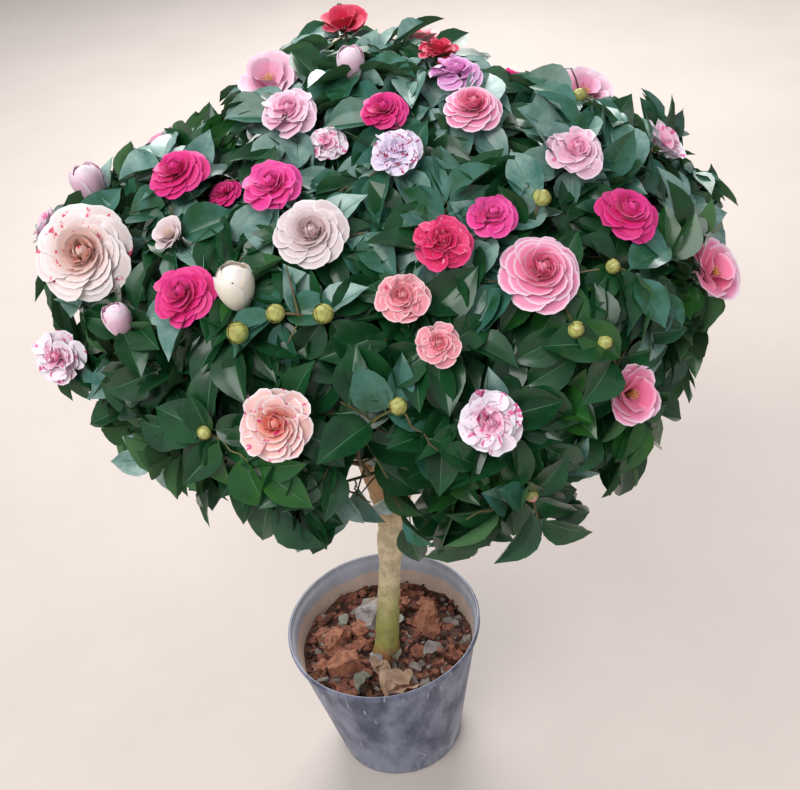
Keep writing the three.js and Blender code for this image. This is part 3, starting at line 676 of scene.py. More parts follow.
def grid_faces(rows, columns, closed=False):
    """Quads of a grid of vertices laid out row by row. A closed grid joins its last column to its first."""
    row = np.arange(rows - 1)[:, None] * columns
    column = np.arange(columns if closed else columns - 1)
    after = (column + 1) % columns
    corners = [row + column, row + after, row + columns + after, row + columns + column]
    return np.stack(corners, axis=-1).reshape(-1, 4)


def ring_angles(sides):
    """Even angles round a ring."""
    return np.arange(sides) * TURN / sides


class Shape:
    """Gathers the vertices in millimetres, faces and UV places of one piece."""

    def __init__(self):
        self.vertices = []
        self.faces = []
        self.uvs = []
        self.count = 0

    def add(self, vertices, faces, uvs=None):
        """Adds a part, whose faces count from its own first vertex. Returns the shape."""
        vertices = np.asarray(vertices, float)
        self.vertices.append(vertices)
        self.uvs.append(np.zeros((len(vertices), 2)) if uvs is None else np.asarray(uvs, float))
        self.faces.extend([int(corner) + self.count for corner in face] for face in faces)
        self.count += len(vertices)
        return self

    def mesh(self, name, *materials, smooth=True):
        """The parts as one mesh."""
        mesh = bpy.data.meshes.new(name)
        mesh.from_pydata((np.concatenate(self.vertices) * MM).tolist(), [], self.faces)
        for material in materials:
            mesh.materials.append(material)
        mesh.polygons.foreach_set("use_smooth", [smooth] * len(mesh.polygons))
        corners = np.zeros(len(mesh.loops), np.int32)
        mesh.loops.foreach_get("vertex_index", corners)
        uvs = np.concatenate(self.uvs)[corners]
        mesh.uv_layers.new(name="UVMap").data.foreach_set("uv", uvs.ravel())
        mesh.update()
        return mesh


def linked(name, mesh):
    """New object at the origin for a mesh."""
    piece = bpy.data.objects.new(name, mesh)
    bpy.context.scene.collection.objects.link(piece)
    return piece


def finished(piece, slot, *nodes):
    """Makes a piece ride the plant's body and hides the nodes that it stands for. Its slot is not used."""
    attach(piece, BODY)
    if nodes:
        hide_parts(*nodes)


def plain_mesh(piece):
    """The evaluated mesh of a piece, on a new object that takes its name."""
    name = piece.name
    source = piece.data
    graph = bpy.context.evaluated_depsgraph_get()
    mesh = bpy.data.meshes.new_from_object(piece.evaluated_get(graph))
    bpy.data.objects.remove(piece)
    bpy.data.meshes.remove(source)
    mesh.name = name
    return linked(name, mesh)


def frames_along(points):
    """Two directions square to a row of points, which don't twist."""
    ahead = np.concatenate((points[1:], points[-1:]))
    before = np.concatenate((points[:1], points[:-1]))
    toward = unit(ahead - before)
    sides = [across(toward[0])[0]]
    for tangent in toward[1:]:
        sides.append(square_to(tangent, sides[-1]))
    return np.array(sides), np.cross(sides, toward)


def tube(points, radii, sides, outline=None):
    """Vertices and faces of a closed tube bent along a row of points."""
    side, lift = frames_along(points)
    angles = ring_angles(sides)
    radii = np.asarray(radii)[:, None] * (1 if outline is None else outline(angles))
    ring = side[:, None] * np.cos(angles)[:, None] + lift[:, None] * np.sin(angles)[:, None]
    vertices = (points[:, None] + radii[..., None] * ring).reshape(-1, 3)
    faces = grid_faces(len(points), sides, closed=True).tolist()
    faces.append(list(range(sides))[::-1])
    faces.append([len(vertices) - sides + i for i in range(sides)])
    return vertices, [face[::-1] for face in faces]


def grid_shape(places, closed=False, uvs=None):
    """Shape of a grid of places: a tube if it is closed, or else a sheet that faces up."""
    faces = grid_faces(*places.shape[:2], closed)
    uvs = None if uvs is None else np.reshape(uvs, (-1, 2))
    return Shape().add(places.reshape(-1, 3), faces if closed else faces[:, ::-1], uvs)


class Rows:
    """Gathers many small pieces, each with its place, direction, face, size, width, shape and finish."""

    def __init__(self, *more):
        self.rows = {name: [] for name in ("place", "axis", "face", "size", "width", "kind", "tone", *more)}

    def add(self, *values):
        """Adds a piece."""
        for name, value in zip(self.rows, values):
            self.rows[name].append(value)

    def arrays(self, move=None):
        """The pieces as arrays, with their places moved by a function."""
        rows = {name: np.array(values) for name, values in self.rows.items()}
        return rows if move is None else {**rows, "place": move(rows["place"])}


# Node trees


class Graph:
    """Adds nodes to a tree and sets or links their sockets."""

    def __init__(self, tree):
        self.tree = tree

    def set(self, socket, value):
        """Links a socket to another one or sets its value. A colour may come without its alpha."""
        if isinstance(value, bpy.types.NodeSocket):
            self.tree.links.new(value, socket)
        elif socket.type == "RGBA":
            socket.default_value = (*tuple(value)[:3], 1)
        else:
            socket.default_value = value

    def add(self, kind, inputs=None, **settings):
        """A new node, with its settings and the values or links of its inputs."""
        node = self.tree.nodes.new(kind)
        for name, value in settings.items():
            setattr(node, name, value)
        for name, value in (inputs or {}).items():
            self.set(next(one for one in node.inputs if one.enabled and one.name == name), value)
        return node

    def value(self, kind, inputs=None, output=None, **settings):
        """The output socket of a new node, its first one unless it is named."""
        node = self.add(kind, inputs, **settings)
        return next(one for one in node.outputs if one.enabled and output in (None, one.name))

    def math(self, operation, *values, kind="ShaderNodeMath"):
        """Result of a Math node, or of a Vector Math node."""
        node = self.add(kind, operation=operation)
        for socket, value in zip(node.inputs, values):
            self.set(socket, value)
        return next(one for one in node.outputs if one.enabled)

    def times(self, first, second):
        """Product of two numbers."""
        return self.math("MULTIPLY", first, second)

    def less(self, value, whole=1):
        """What is left of a whole without a value."""
        return self.math("SUBTRACT", whole, value)

    def mix(self, factor, first, second):
        """Mix of two colours."""
        return self.value("ShaderNodeMix", {"Factor": factor, "A": first, "B": second}, data_type="RGBA")

    def ramp(self, value, low, high):
        """0 where a value is low, 1 where it is high and smooth between."""
        inputs = {"Value": value, "From Min": low, "From Max": high}
        return self.value("ShaderNodeMapRange", inputs, interpolation_type="SMOOTHSTEP")

    def split(self, vector):
        """X, Y and Z of a vector."""
        return self.add("ShaderNodeSeparateXYZ", {"Vector": vector}).outputs

    def joined(self, x, y, z=0.0):
        """Vector from its X, Y and Z."""
        return self.value("ShaderNodeCombineXYZ", {"X": x, "Y": y, "Z": z})

    def turned(self, vector, turns, scale):
        """Coordinates, turned and stretched."""
        return self.value("ShaderNodeMapping", {"Vector": vector, "Rotation": turns, "Scale": scale})

    def from_middle(self, x):
        """How far a UV place lies from the middle of its piece."""
        return self.math("ABSOLUTE", self.math("SUBTRACT", x, 0.5))

    def noise(self, vector, scale, detail=3.0, roughness=0.5):
        """Factor of a Noise Texture."""
        inputs = {"Vector": vector, "Scale": scale, "Detail": detail, "Roughness": roughness}
        return self.value("ShaderNodeTexNoise", inputs)

    def group(self, tree, **inputs):
        """Outputs of a placed node group."""
        inputs = {name.replace("_", " "): value for name, value in inputs.items()}
        return self.add(f"{tree.bl_idname[:-4]}Group", inputs, node_tree=tree).outputs

    def mottle(self, vector, scale, contrast, first, second):
        """Two colours in soft patches."""
        given = {"Vector": vector, "Scale": scale, "Contrast": contrast, "First": first, "Second": second}
        return self.group(mottle_group(), **given)["Color"]

    def grain(self, vector, scale, stretch):
        """Height of a fine grain."""
        return self.group(grain_group(), Vector=vector, Scale=scale, Stretch=stretch)["Height"]


class Finish(Graph):
    """A new material's graph, with its Object coordinates."""

    def __init__(self, name):
        self.material = bpy.data.materials.new(name)
        self.material.use_nodes = True
        super().__init__(self.material.node_tree)
        self.place = self.value("ShaderNodeTexCoord", output="Object")

    def shaded(self, tint, roughness, relief=None, **more):
        """The material, once its shader has its colour, roughness, relief and other values."""
        sockets = self.tree.nodes["Principled BSDF"].inputs
        values = {"Base_Color": tint, "Roughness": roughness, **more}
        if relief is not None:
            height, strength, distance = relief
            values["Normal"] = self.value(
                "ShaderNodeBump", {"Height": height, "Strength": strength, "Distance": distance}
            )
        for name, value in values.items():
            self.set(sockets[name.replace("_", " ")], value)
        return self.material


def new_tree(kind, name, inputs, outputs):
    """Node group with named inputs and outputs. Returns its graph and the sockets of its two ends."""
    tree = bpy.data.node_groups.new(name, kind)
    for label, (socket_type, default) in inputs.items():
        socket = tree.interface.new_socket(label, in_out="INPUT", socket_type=socket_type)
        if default is not None:
            socket.default_value = default
    for label, socket_type in outputs.items():
        tree.interface.new_socket(label, in_out="OUTPUT", socket_type=socket_type)
    graph = Graph(tree)
    return graph, graph.add("NodeGroupInput").outputs, graph.add("NodeGroupOutput").inputs


FLOAT = "NodeSocketFloat"
COLOUR = "NodeSocketColor"
VECTOR = "NodeSocketVector"
GEOMETRY = "NodeSocketGeometry"
GREY = (0.5, 0.5, 0.5, 1)


def colour(code):
    """Linear colour from a six-digit hex code."""
    parts = [int(code[i:i + 2], 16) / 255 for i in (0, 2, 4)]
    return tuple(part / 12.92 if part <= 0.04045 else ((part + 0.055) / 1.055) ** 2.4 for part in parts)


@functools.cache
def mottle_group():
    """Two colours in soft patches, and the mask between them."""
    graph, given, result = new_tree(
        "ShaderNodeTree", "Mottle",
        {
            "Vector": (VECTOR, None), "Scale": (FLOAT, 20.0), "Contrast": (FLOAT, 0.15),
            "First": (COLOUR, GREY), "Second": (COLOUR, GREY),
        },
        {"Color": COLOUR, "Mask": FLOAT},
    )
    patches = graph.noise(given["Vector"], given["Scale"], 4, 0.6)
    high = graph.math("ADD", 0.5, given["Contrast"])
    mask = graph.ramp(patches, graph.less(given["Contrast"], 0.5), high)
    graph.set(result["Mask"], mask)
    graph.set(result["Color"], graph.mix(mask, given["First"], given["Second"]))
    return graph.tree


@functools.cache
def grain_group():
    """Height of a fine grain, stretched along Z."""
    graph, given, result = new_tree(
        "ShaderNodeTree", "Grain",
        {"Vector": (VECTOR, None), "Scale": (FLOAT, 200.0), "Stretch": (FLOAT, 1.0)},
        {"Height": FLOAT},
    )
    squeeze = graph.joined(1.0, 1.0, given["Stretch"])
    vector = graph.math("MULTIPLY", given["Vector"], squeeze, kind="ShaderNodeVectorMath")
    graph.set(result["Height"], graph.noise(vector, given["Scale"], 5, 0.65))
    return graph.tree


@functools.cache
def scuff_group():
    """Mask of long thin scratches and worn patches."""
    graph, given, result = new_tree(
        "ShaderNodeTree", "Scuffs",
        {"Vector": (VECTOR, None), "Scale": (FLOAT, 30.0), "Amount": (FLOAT, 0.5)},
        {"Mask": FLOAT},
    )
    strokes = 0.0
    for turn, stretch in ((0.5, 0.08), (-0.9, 0.12), (1.35, 0.05)):
        turned = graph.turned(given["Vector"], (turn, turn / 2, 0), (1, 1, stretch))
        scratches = graph.ramp(graph.noise(turned, given["Scale"], 3, 0.7), 0.62, 0.7)
        strokes = graph.math("MAXIMUM", strokes, scratches)
    patches = graph.ramp(graph.noise(given["Vector"], 9, 4, 0.6), 0.4, 0.62)
    graph.set(result["Mask"], graph.times(graph.times(strokes, patches), given["Amount"]))
    return graph.tree


@functools.cache
def petal_group():
    """Colour of a petal from its place in the bloom: centre, body, edge and flecks."""
    graph, given, result = new_tree(
        "ShaderNodeTree", "Petal colour",
        {
            "Place": (VECTOR, None), "Ring": (FLOAT, 0.5), "Chance": (FLOAT, 0.5),
            "Centre": (COLOUR, GREY), "Body": (COLOUR, GREY), "Edge": (COLOUR, GREY),
            "Fleck": (COLOUR, GREY), "Flecks": (FLOAT, 0.0), "Edge Width": (FLOAT, 0.2),
        },
        {"Color": COLOUR, "Vein": FLOAT},
    )
    split = graph.split(given["Place"])
    across_petal, up_petal = split["X"], split["Y"]
    rim = graph.math("MAXIMUM", up_petal, graph.times(graph.from_middle(across_petal), 2))
    inner = graph.ramp(given["Ring"], 0.0, 0.75)
    body = graph.mix(inner, given["Centre"], given["Body"])
    paler = graph.times(
        graph.ramp(rim, graph.less(given["Edge Width"]), 1.0), graph.math("ADD", 0.3, graph.times(inner, 0.7))
    )
    edged = graph.mix(paler, body, given["Edge"])
    streak = graph.joined(
        graph.times(across_petal, 3.2), graph.times(up_petal, 0.7), graph.times(given["Chance"], 40)
    )
    wanted = graph.less(graph.times(given["Flecks"], 0.33), 0.78)
    mask = graph.ramp(graph.noise(streak, 1.6, 3, 0.6), wanted, graph.math("ADD", wanted, 0.06))
    graph.set(result["Color"], graph.mix(mask, edged, given["Fleck"]))
    veins = graph.joined(graph.times(across_petal, 30), up_petal, given["Chance"])
    graph.set(result["Vein"], graph.noise(veins, 1.0, 2))
    return graph.tree


# Geometry Nodes


def tree_inputs(piece, tree, values):
    """Adds a tree to a piece as a modifier, with its inputs set by their sockets' identifiers."""
    modifier = piece.modifiers.new(tree.name, "NODES")
    modifier.node_group = tree
    for item in tree.interface.items_tree:
        if item.in_out == "INPUT" and item.name in values:
            modifier[item.identifier] = values[item.name]


def named(graph, name, kind):
    """A named attribute's field."""
    return graph.value("GeometryNodeInputNamedAttribute", {"Name": name}, data_type=kind)


def dressed(graph, geometry, material, chosen=True):
    """Geometry with a material on its chosen faces."""
    inputs = {"Geometry": geometry, "Selection": chosen, "Material": material}
    return graph.value("GeometryNodeSetMaterial", inputs)


def scatter_tree(name, shapes, finishes, rib):
    """Tree that puts a shape on every point, turned, sized and finished by the point's attributes."""
    graph, given, result = new_tree(
        "GeometryNodeTree", name,
        {"Geometry": (GEOMETRY, None), "Size": (FLOAT, 1.0), "Width": (FLOAT, 1.0)},
        {"Geometry": GEOMETRY},
    )
    inputs = {"Collection": shapes, "Separate Children": True, "Reset Children": True}
    choice = graph.value("GeometryNodeCollectionInfo", inputs)
    axes = {
        "Primary Axis": named(graph, "axis", "FLOAT_VECTOR"),
        "Secondary Axis": named(graph, "face", "FLOAT_VECTOR"),
    }
    rotation = graph.value("FunctionNodeAxesToRotation", axes, primary_axis="X", secondary_axis="Z")
    size = graph.times(named(graph, "size", "FLOAT"), given["Size"])
    width = graph.times(size, graph.times(named(graph, "width", "FLOAT"), given["Width"]))
    geometry = graph.value("GeometryNodeInstanceOnPoints", {
        "Points": given["Geometry"], "Instance": choice, "Pick Instance": True,
        "Instance Index": named(graph, "kind", "INT"), "Rotation": rotation,
        "Scale": graph.joined(size, width, size),
    })
    geometry = graph.value("GeometryNodeRealizeInstances", {"Geometry": geometry})
    tone = named(graph, "tone", "INT")
    for index, finish in enumerate(finishes):
        chosen = graph.value(
            "FunctionNodeCompare", {"A": tone, "B": index}, data_type="INT", operation="EQUAL"
        )
        geometry = dressed(graph, geometry, finish, chosen)
    if rib is not None:
        geometry = dressed(graph, geometry, rib, named(graph, "rib", "BOOLEAN"))
    graph.set(result["Geometry"], geometry)
    return graph.tree


def scattered(name, rows, shapes, finishes, rib=None):
    """Piece with a shape on every place of the rows."""
    mesh = bpy.data.meshes.new(name)
    mesh.from_pydata((rows["place"] * MM).tolist(), [], [])
    kinds = {"axis": "FLOAT_VECTOR", "face": "FLOAT_VECTOR", "kind": "INT", "tone": "INT"}
    for label in [label for label in rows if label != "place"]:
        kind = kinds.get(label, "FLOAT")
        attribute = mesh.attributes.new(label, kind, "POINT")
        attribute.data.foreach_set("vector" if kind == "FLOAT_VECTOR" else "value", rows[label].ravel())
    piece = linked(name, mesh)
    prototypes = bpy.data.collections.new(f"{name}_shapes")
    for index, shape in enumerate(shapes):
        prototypes.objects.link(bpy.data.objects.new(f"{name}_shape_{index:02}", shape))
    tree = scatter_tree(f"{name} scatter", prototypes, finishes, rib)
    tree_inputs(piece, tree, {"Size": 1.0, "Width": 1.0})
    piece = plain_mesh(piece)
    for prototype in list(prototypes.objects):
        bpy.data.objects.remove(prototype)
    bpy.data.collections.remove(prototypes)
    bpy.data.node_groups.remove(tree)
    for label in ("axis", "face", "size", "width", "kind", "rib"):
        attribute = piece.data.attributes.get(label)
        if attribute:
            piece.data.attributes.remove(attribute)
    return piece


def stroke_tree(name, finish, sides):
    """Tree that makes round twigs along chains of edges, as thick as their points' radius."""
    graph, given, result = new_tree(
        "GeometryNodeTree", name,
        {"Geometry": (GEOMETRY, None), "Thickness": (FLOAT, 1.0)},
        {"Geometry": GEOMETRY},
    )
    curve = graph.value("GeometryNodeMeshToCurve", {"Mesh": given["Geometry"]})
    radius = graph.times(named(graph, "thick", "FLOAT"), given["Thickness"])
    curve = graph.value("GeometryNodeSetCurveRadius", {"Curve": curve, "Radius": radius})
    ring = graph.value("GeometryNodeCurvePrimitiveCircle", {"Resolution": sides, "Radius": 1.0})
    tubes = graph.add("GeometryNodeCurveToMesh", {"Curve": curve, "Profile Curve": ring, "Fill Caps": True})
    scale = tubes.inputs.get("Scale")
    if scale is not None and scale.enabled:
        graph.set(scale, radius)
    smooth = graph.value("GeometryNodeSetShadeSmooth", {"Geometry": tubes.outputs["Mesh"]})
    real = graph.value("GeometryNodeRealizeInstances", {"Geometry": smooth})
    graph.set(result["Geometry"], dressed(graph, real, finish))
    return graph.tree


def stroked(name, strokes, finish, sides):
    """Piece of round twigs. A stroke is a row of points and their radii, in millimetres."""
    points = np.concatenate([points for points, _ in strokes])
    radii = np.concatenate([radii for _, radii in strokes])
    edges = []
    start = 0
    for row, _ in strokes:
        edges.extend((start + i, start + i + 1) for i in range(len(row) - 1))
        start += len(row)
    mesh = bpy.data.meshes.new(name)
    mesh.from_pydata((points * MM).tolist(), edges, [])
    mesh.attributes.new("thick", "FLOAT", "POINT").data.foreach_set("value", radii * MM)
    piece = linked(name, mesh)
    tree = stroke_tree(f"{name} strokes", finish, sides)
    tree_inputs(piece, tree, {"Thickness": 1.0})
    piece = plain_mesh(piece)
    bpy.data.node_groups.remove(tree)
    return piece


# Stage and camera

PHOTO_LENS = 54.0
CAMERA_PLACE = (0.0743, -1.2723, 1.6487)
CAMERA_PITCH = 37.18
CAMERA_ROLL = -8.0


def make_camera():
    """Camera at the photograph's viewing angle."""
    camera = linked("camera", bpy.data.cameras.new("camera"))
    camera.data.lens = PHOTO_LENS
    camera.data.sensor_width = 36.0
    pitch = Matrix.Rotation(math.radians(90 - CAMERA_PITCH), 4, "X")
    roll = Matrix.Rotation(math.radians(CAMERA_ROLL), 4, "Z")
    camera.matrix_world = Matrix.Translation(CAMERA_PLACE) @ pitch @ roll
    bpy.context.scene.camera = camera


def make_floor(look):
    """Wide pale floor."""
    finish = Finish("pale_floor")
    tint = finish.mottle(finish.place, 2.5, 0.3, look.floor, np.array(look.floor) * 0.93)
    material = finish.shaded(tint, 0.95, relief=(finish.noise(finish.place, 90, 4), 0.15, 0.004))
    half = look.floor_size / 2 / MM
    corners = [(-half, -half, 0), (half, -half, 0), (half, half, 0), (-half, half, 0)]
    linked("floor", Shape().add(corners, [(0, 1, 2, 3)]).mesh("floor", material))


def make_lights(look):
    """Bright pale sky, soft light from the upper front left and a wide one from behind and above."""
    scene = bpy.context.scene
    scene.world = bpy.data.worlds.new("sky")
    scene.world.use_nodes = True
    background = scene.world.node_tree.nodes["Background"]
    background.inputs["Color"].default_value = (*look.sky, 1)
    background.inputs["Strength"].default_value = look.sky_strength
    scene.view_settings.view_transform = "Standard"
    soft_light("front_light", look.front_place, look.front_size, look.front_energy)
    soft_light("back_light", look.back_place, look.back_size, look.back_energy)


def soft_light(name, place, size, energy):
    """Round area light turned to the crown."""
    light = bpy.data.lights.new(name, "AREA")
    light.shape = "DISK"
    light.size = size
    light.energy = energy
    lamp = linked(name, light)
    lamp.location = place
    toward = Vector(CROWN_CENTRE * MM) - Vector(place)
    lamp.rotation_euler = toward.to_track_quat("-Z", "Y").to_euler()


# Pot

# Its outline, as radius and height: wall, underside and rim
WALL = Record(foot=100.0, shoulder=145.0, start=9.4, end=243, inner_foot=97, inner_shoulder=142, floor=4)
UNDERSIDE = ((0, 0), (40, 0), (88, 0), (95, 0.3), (98.6, 1.4))
RIM = (
    (145.6, 242.6), (147.4, 243.6), (148.8, 244.6), (149.5, 246.2), (149.8, 249), (149.8, 252),
    (149.3, 254), (148, 255), (146.8, 254.9), (146.1, 254), (145.8, 252), (145.4, 248), (144.4, 244.6),
    (142.6, 243),
)


def pot_profile():
    """Outline of the pot's wall, from the middle of its underside round the rim to its floor inside."""
    foot = [(WALL.foot, 3.5), (WALL.foot + 0.9, 8), (WALL.foot + 1.2, WALL.start)]
    outside = [
        (lerp(WALL.foot, WALL.shoulder, share) + 0.2, lerp(WALL.start, WALL.end, share))
        for share in np.linspace(0.04, 0.985, 26)
    ]
    inside = [
        (lerp(WALL.inner_foot, WALL.inner_shoulder, share), lerp(WALL.floor, WALL.end, share))
        for share in np.linspace(0.97, 0.02, 22)
    ]
    return [*UNDERSIDE, *foot, *outside, *RIM, *inside, *((radius, WALL.floor) for radius in (90, 40, 0))]


def make_pot_shape(sides):
    """The pot, slightly out of round, with shallow dents in its wall."""
    profile = np.array(pot_profile(), float)
    angles = ring_angles(sides)
    radius = profile[:, 0][:, None]
    height = np.repeat(profile[:, 1][:, None], sides, axis=1)
    wall = radius > 60
    loose = (height / POT_HEIGHT) ** 2 * wall
    wave = 0.9 * np.sin(2 * angles + 0.6) + 0.45 * np.sin(3 * angles + 2) + 0.2 * np.sin(7 * angles)
    dents = 0.5 * np.sin(5 * angles + height / 40) * np.sin(height / 31 + 1)
    radius = radius + loose * (wave - 0.9) + np.where(wall, dents * 0.6, 0) * (height < WALL.end)
    radius = np.minimum(radius, RIM_RADIUS)
    height = height + np.where(height > 240, 0.5 * np.sin(2 * angles + 1.2) - 0.5, 0)
    places = np.stack((radius * np.cos(angles), radius * np.sin(angles), height), axis=-1)
    places[[0, -1], :, :2] = 0
    round_wall = np.tile(np.linspace(0, 1, sides, endpoint=False), len(profile))
    up_wall = np.repeat(np.linspace(0, 1, len(profile)), sides)
    return grid_shape(places, closed=True, uvs=np.stack((round_wall, up_wall), axis=1))


def pot_material(look):
    """Weathered plastic: slate blue, scuffed, pale at the foot; inside, tan dried mix and grey dust under the
    rim, both made paler as painted light against the shade inside the pot.
    """
    finish = Finish("weathered_plastic")
    place = finish.place
    slanted = finish.turned(place, (0.5, 0.7, 0.3), (1, 1, 0.45))
    body = finish.mottle(slanted, 22.0, 0.17, look.plastic, look.plastic_dark)
    scuffs = finish.group(scuff_group(), Vector=place, Scale=70.0, Amount=look.wear)["Mask"]
    worn = finish.mix(scuffs, body, look.scuff)
    split = finish.split(place)
    height = split["Z"]
    rub = finish.ramp(finish.noise(slanted, 16, 5, 0.7), 0.4, 0.66)
    low = finish.less(finish.ramp(height, 0.01, 0.085))
    dusty = finish.mix(finish.times(finish.times(low, rub), 0.7), worn, look.dust_and_painted_light)
    normal = finish.value("ShaderNodeNewGeometry", output="Normal")
    level = finish.joined(split["X"], split["Y"])
    facing = finish.math("DOT_PRODUCT", level, normal, kind="ShaderNodeVectorMath")
    inner = finish.math("LESS_THAN", facing, -0.02)
    wavy = finish.math("ADD", height, finish.times(finish.noise(place, 9, 3), 0.022))
    # The inner wall's dried mix and dust are real stains, painted paler than they are to stand for light in
    # the pot's shade
    stain_and_painted_light = finish.mix(finish.ramp(wavy, 0.233, 0.239), look.dried_mix_and_painted_light, look.dust_and_painted_light)
    wash = finish.times(inner, finish.math("ADD", 0.7, finish.times(rub, 0.25)))
    rough = finish.math("ADD", 0.5, finish.times(scuffs, 0.3))
    relief = (finish.grain(place, 160.0, 0.3), 0.12, 0.0006)
    return finish.shaded(finish.mix(wash, dusty, stain_and_painted_light), rough, relief)


# Potting mix

# Its surface, and what is strewn over it: shapes 0 to 3 are chips and 4 is a leaf
SURFACE = Record(rings=60, sides=150, radius=134.0, foot_radius=96, foot=5.0)
CHIPS = Record(reach=134, sizes=(6, 23), shapes=(0, 1, 2, 3), tones=(0, 0, 0, 1, 1, 2), level=-1, tilt=0.9)
CLODS = Record(count=36, reach=126, sizes=(13, 32), shapes=(3,), tones=(4, 4, 0), level=1, tilt=0.5)
DRY_LEAVES = Record(count=9, reach=118, sizes=(26, 50), shapes=(4,), tones=(3, 3, 5), level=8, tilt=0.7)

# Widths, heights and bends of the chips, and the fold, droop, wave and twist of a dry leaf
CHIP_SHAPES = ((0.42, 0.2, 0.1), (0.6, 0.26, -0.1), (0.28, 0.16, 0.25), (0.8, 0.4, 0.0))
DRY_LEAF = (0.5, 0.5, 0.06, 0.5)

# Materials of what is strewn: name, two colours, grain and relief
EARTHS = (
    ("red_bark_chip", "8C5642", "5C3424", 90.0, 0.8), ("brown_bark_chip", "5E4034", "342219", 90.0, 0.8),
    ("grey_chip", "8C827C", "62564E", 90.0, 0.6), ("dry_leaf", "C4A68C", "967660", 60.0, 0.5),
    ("orange_clod", "AC7257", "7A4A38", 120.0, 1.0), ("grey_leaf", "9C9A8C", "767A68", 60.0, 0.4),
    ("pale_stone", "A39C98", "7C7470", 70.0, 0.5),
)

# The largest pieces: place, bearing, size, width, shape and material
LITTER = (
    (-14, -112, 6, 35, 66, 1.5, 4, 3), (28, -92, 5, 120, 34, 1.6, 4, 3), (-52, -96, 6, 60, 48, 0.6, 4, 5),
    (-22, 62, 4, 70, 58, 0.8, 3, 6), (52, -40, 4, 20, 44, 0.9, 4, 6), (-70, -30, 3, 10, 52, 0.9, 3, 4),
    (-84, 22, 3, 50, 44, 1.0, 3, 4), (66, 30, 3, 150, 40, 1.0, 3, 4), (-16, -34, 6, 100, 30, 0.8, 3, 6),
    (-40, 74, 8, -20, 52, 0.9, 4, 3),
)


def mix_height(x, y):
    """Height of the mix's surface, as its solid has it."""
    away = np.hypot(x - TRUNK.foot[0], y - TRUNK.foot[1])
    wave = np.sin(x / MIX_RIPPLE.ripple) * np.cos(y / MIX_RIPPLE.ripple)
    wave = wave + np.sin((x + 2 * y) / MIX_RIPPLE.swell) / 2
    full = MIX_RIPPLE.flat_radius + MIX_RIPPLE.blend
    return MIX_LEVEL + MIX_RIPPLE.bump * wave * smoothstep(away, MIX_RIPPLE.flat_radius, full)


def make_mix_shape():
    """Lumpy surface of the mix, with a side and an underside that the pot hides."""
    angles = ring_angles(SURFACE.sides)
    rows = []
    for ring in range(SURFACE.rings + 1):
        radius = SURFACE.radius * (ring / SURFACE.rings) ** 0.8
        x, y = radius * np.cos(angles), radius * np.sin(angles)
        lumps = np.array([
            4.5 * noise.noise((a * 0.06, b * 0.06, 3.0)) + 3.0 * noise.noise((a * 0.19, b * 0.19, 7.0))
            for a, b in zip(x, y)
        ])
        rows.append(np.stack((x, y, mix_height(x, y) + lumps - 3), axis=-1))
    foot = np.full(SURFACE.sides, SURFACE.foot)
    for radius in (SURFACE.foot_radius, 0):
        rows.append(np.stack((radius * np.cos(angles), radius * np.sin(angles), foot), axis=-1))
    return grid_shape(np.array(rows[::-1]), closed=True)


def chip_mesh(draw, width, height, bend):
    """Rough chip of bark, 1 long before it is sized: a bent block with broken ends."""
    rows = []
    for share in (0, 0.25, 0.55, 0.8, 1):
        half = width / 2 * (0.55 + 0.6 * math.sin(math.pi * (0.15 + 0.7 * share)))
        thick = height / 2 * (0.5 + 0.7 * math.sin(math.pi * (0.12 + 0.76 * share)))
        lift = bend * (share - 0.5) ** 2
        ring = [(-half, -thick), (half * 0.9, -thick * 0.8), (half, thick * 0.7), (-half * 0.8, thick)]
        rows += [
            (share - 0.5 + 0.1 * (next(draw) - 0.5), y * (0.75 + 0.5 * next(draw)),
             z * (0.7 + 0.6 * next(draw)) + lift)
            for y, z in ring
        ]
    faces = grid_faces(5, 4, closed=True).tolist() + [[0, 3, 2, 1], [16, 17, 18, 19]]
    return Shape().add(rows, faces).mesh("chip", smooth=False)


def lying(spin, lean, side):
    """Direction and face of a piece that lies at a bearing, a little askew."""
    axis = unit((math.cos(spin), math.sin(spin), lean))
    return axis, square_to(axis, unit((-math.sin(spin) * side, math.cos(spin) * side, 1.0)))


def strew(rows, draw, kind, count):
    """Strews pieces of a kind over the mix, clear of the trunk's foot."""
    while count:
        radius = kind.reach * math.sqrt(next(draw))
        angle = next(draw) * TURN
        x, y = radius * math.cos(angle), radius * math.sin(angle)
        size = lerp(*kind.sizes, next(draw) ** 2)
        spin = next(draw) * TURN
        lean = (next(draw) - 0.5) * kind.tilt
        side = (next(draw) - 0.5) * kind.tilt
        height = next(draw) * 4
        shape = kind.shapes[int(next(draw) * len(kind.shapes))]
        tone = kind.tones[int(next(draw) * len(kind.tones))]
        if math.hypot(x - TRUNK.foot[0], y - TRUNK.foot[1]) < TRUNK.foot_radius + 12:
            continue
        if radius + size * 0.45 > kind.reach:
            continue
        height = float(mix_height(x, y)) + kind.level + height
        rows.add((x, y, height), *lying(spin, lean, side), size, 1.0, shape, tone)
        count -= 1


def add_litter(rows):
    """The large pieces that the photograph shows: a tan leaf, a grey stone, a blade and pale flakes."""
    for x, y, height, bearing, *rest in LITTER:
        place = (x, y, float(mix_height(x, y)) + height)
        rows.add(place, *lying(math.radians(bearing), 0.12, 0.25), *rest)


def earthy(name, first, second, scale, strength):
    """Rough crumbly material in two tones."""
    finish = Finish(name)
    tint = finish.mottle(finish.place, scale, 0.18, first, second)
    return finish.shaded(tint, 0.93, (finish.grain(finish.place, 700.0, 1.0), strength, 0.001))


# Trunk and boughs

BARK = Record(
    skin=1.2, flare=7.0, steps=70, sides=28, end=0.92, end_length=0.085, bough_steps=30, bough_sides=14,
    collar=0.35, collar_steps=2.5,
)


def lobed(depth, angles):
    """Share of a trunk ring's radius at each angle, from how deep its lobes are."""
    return 1 + depth[:, None] * np.cos(TRUNK.lobes * angles)


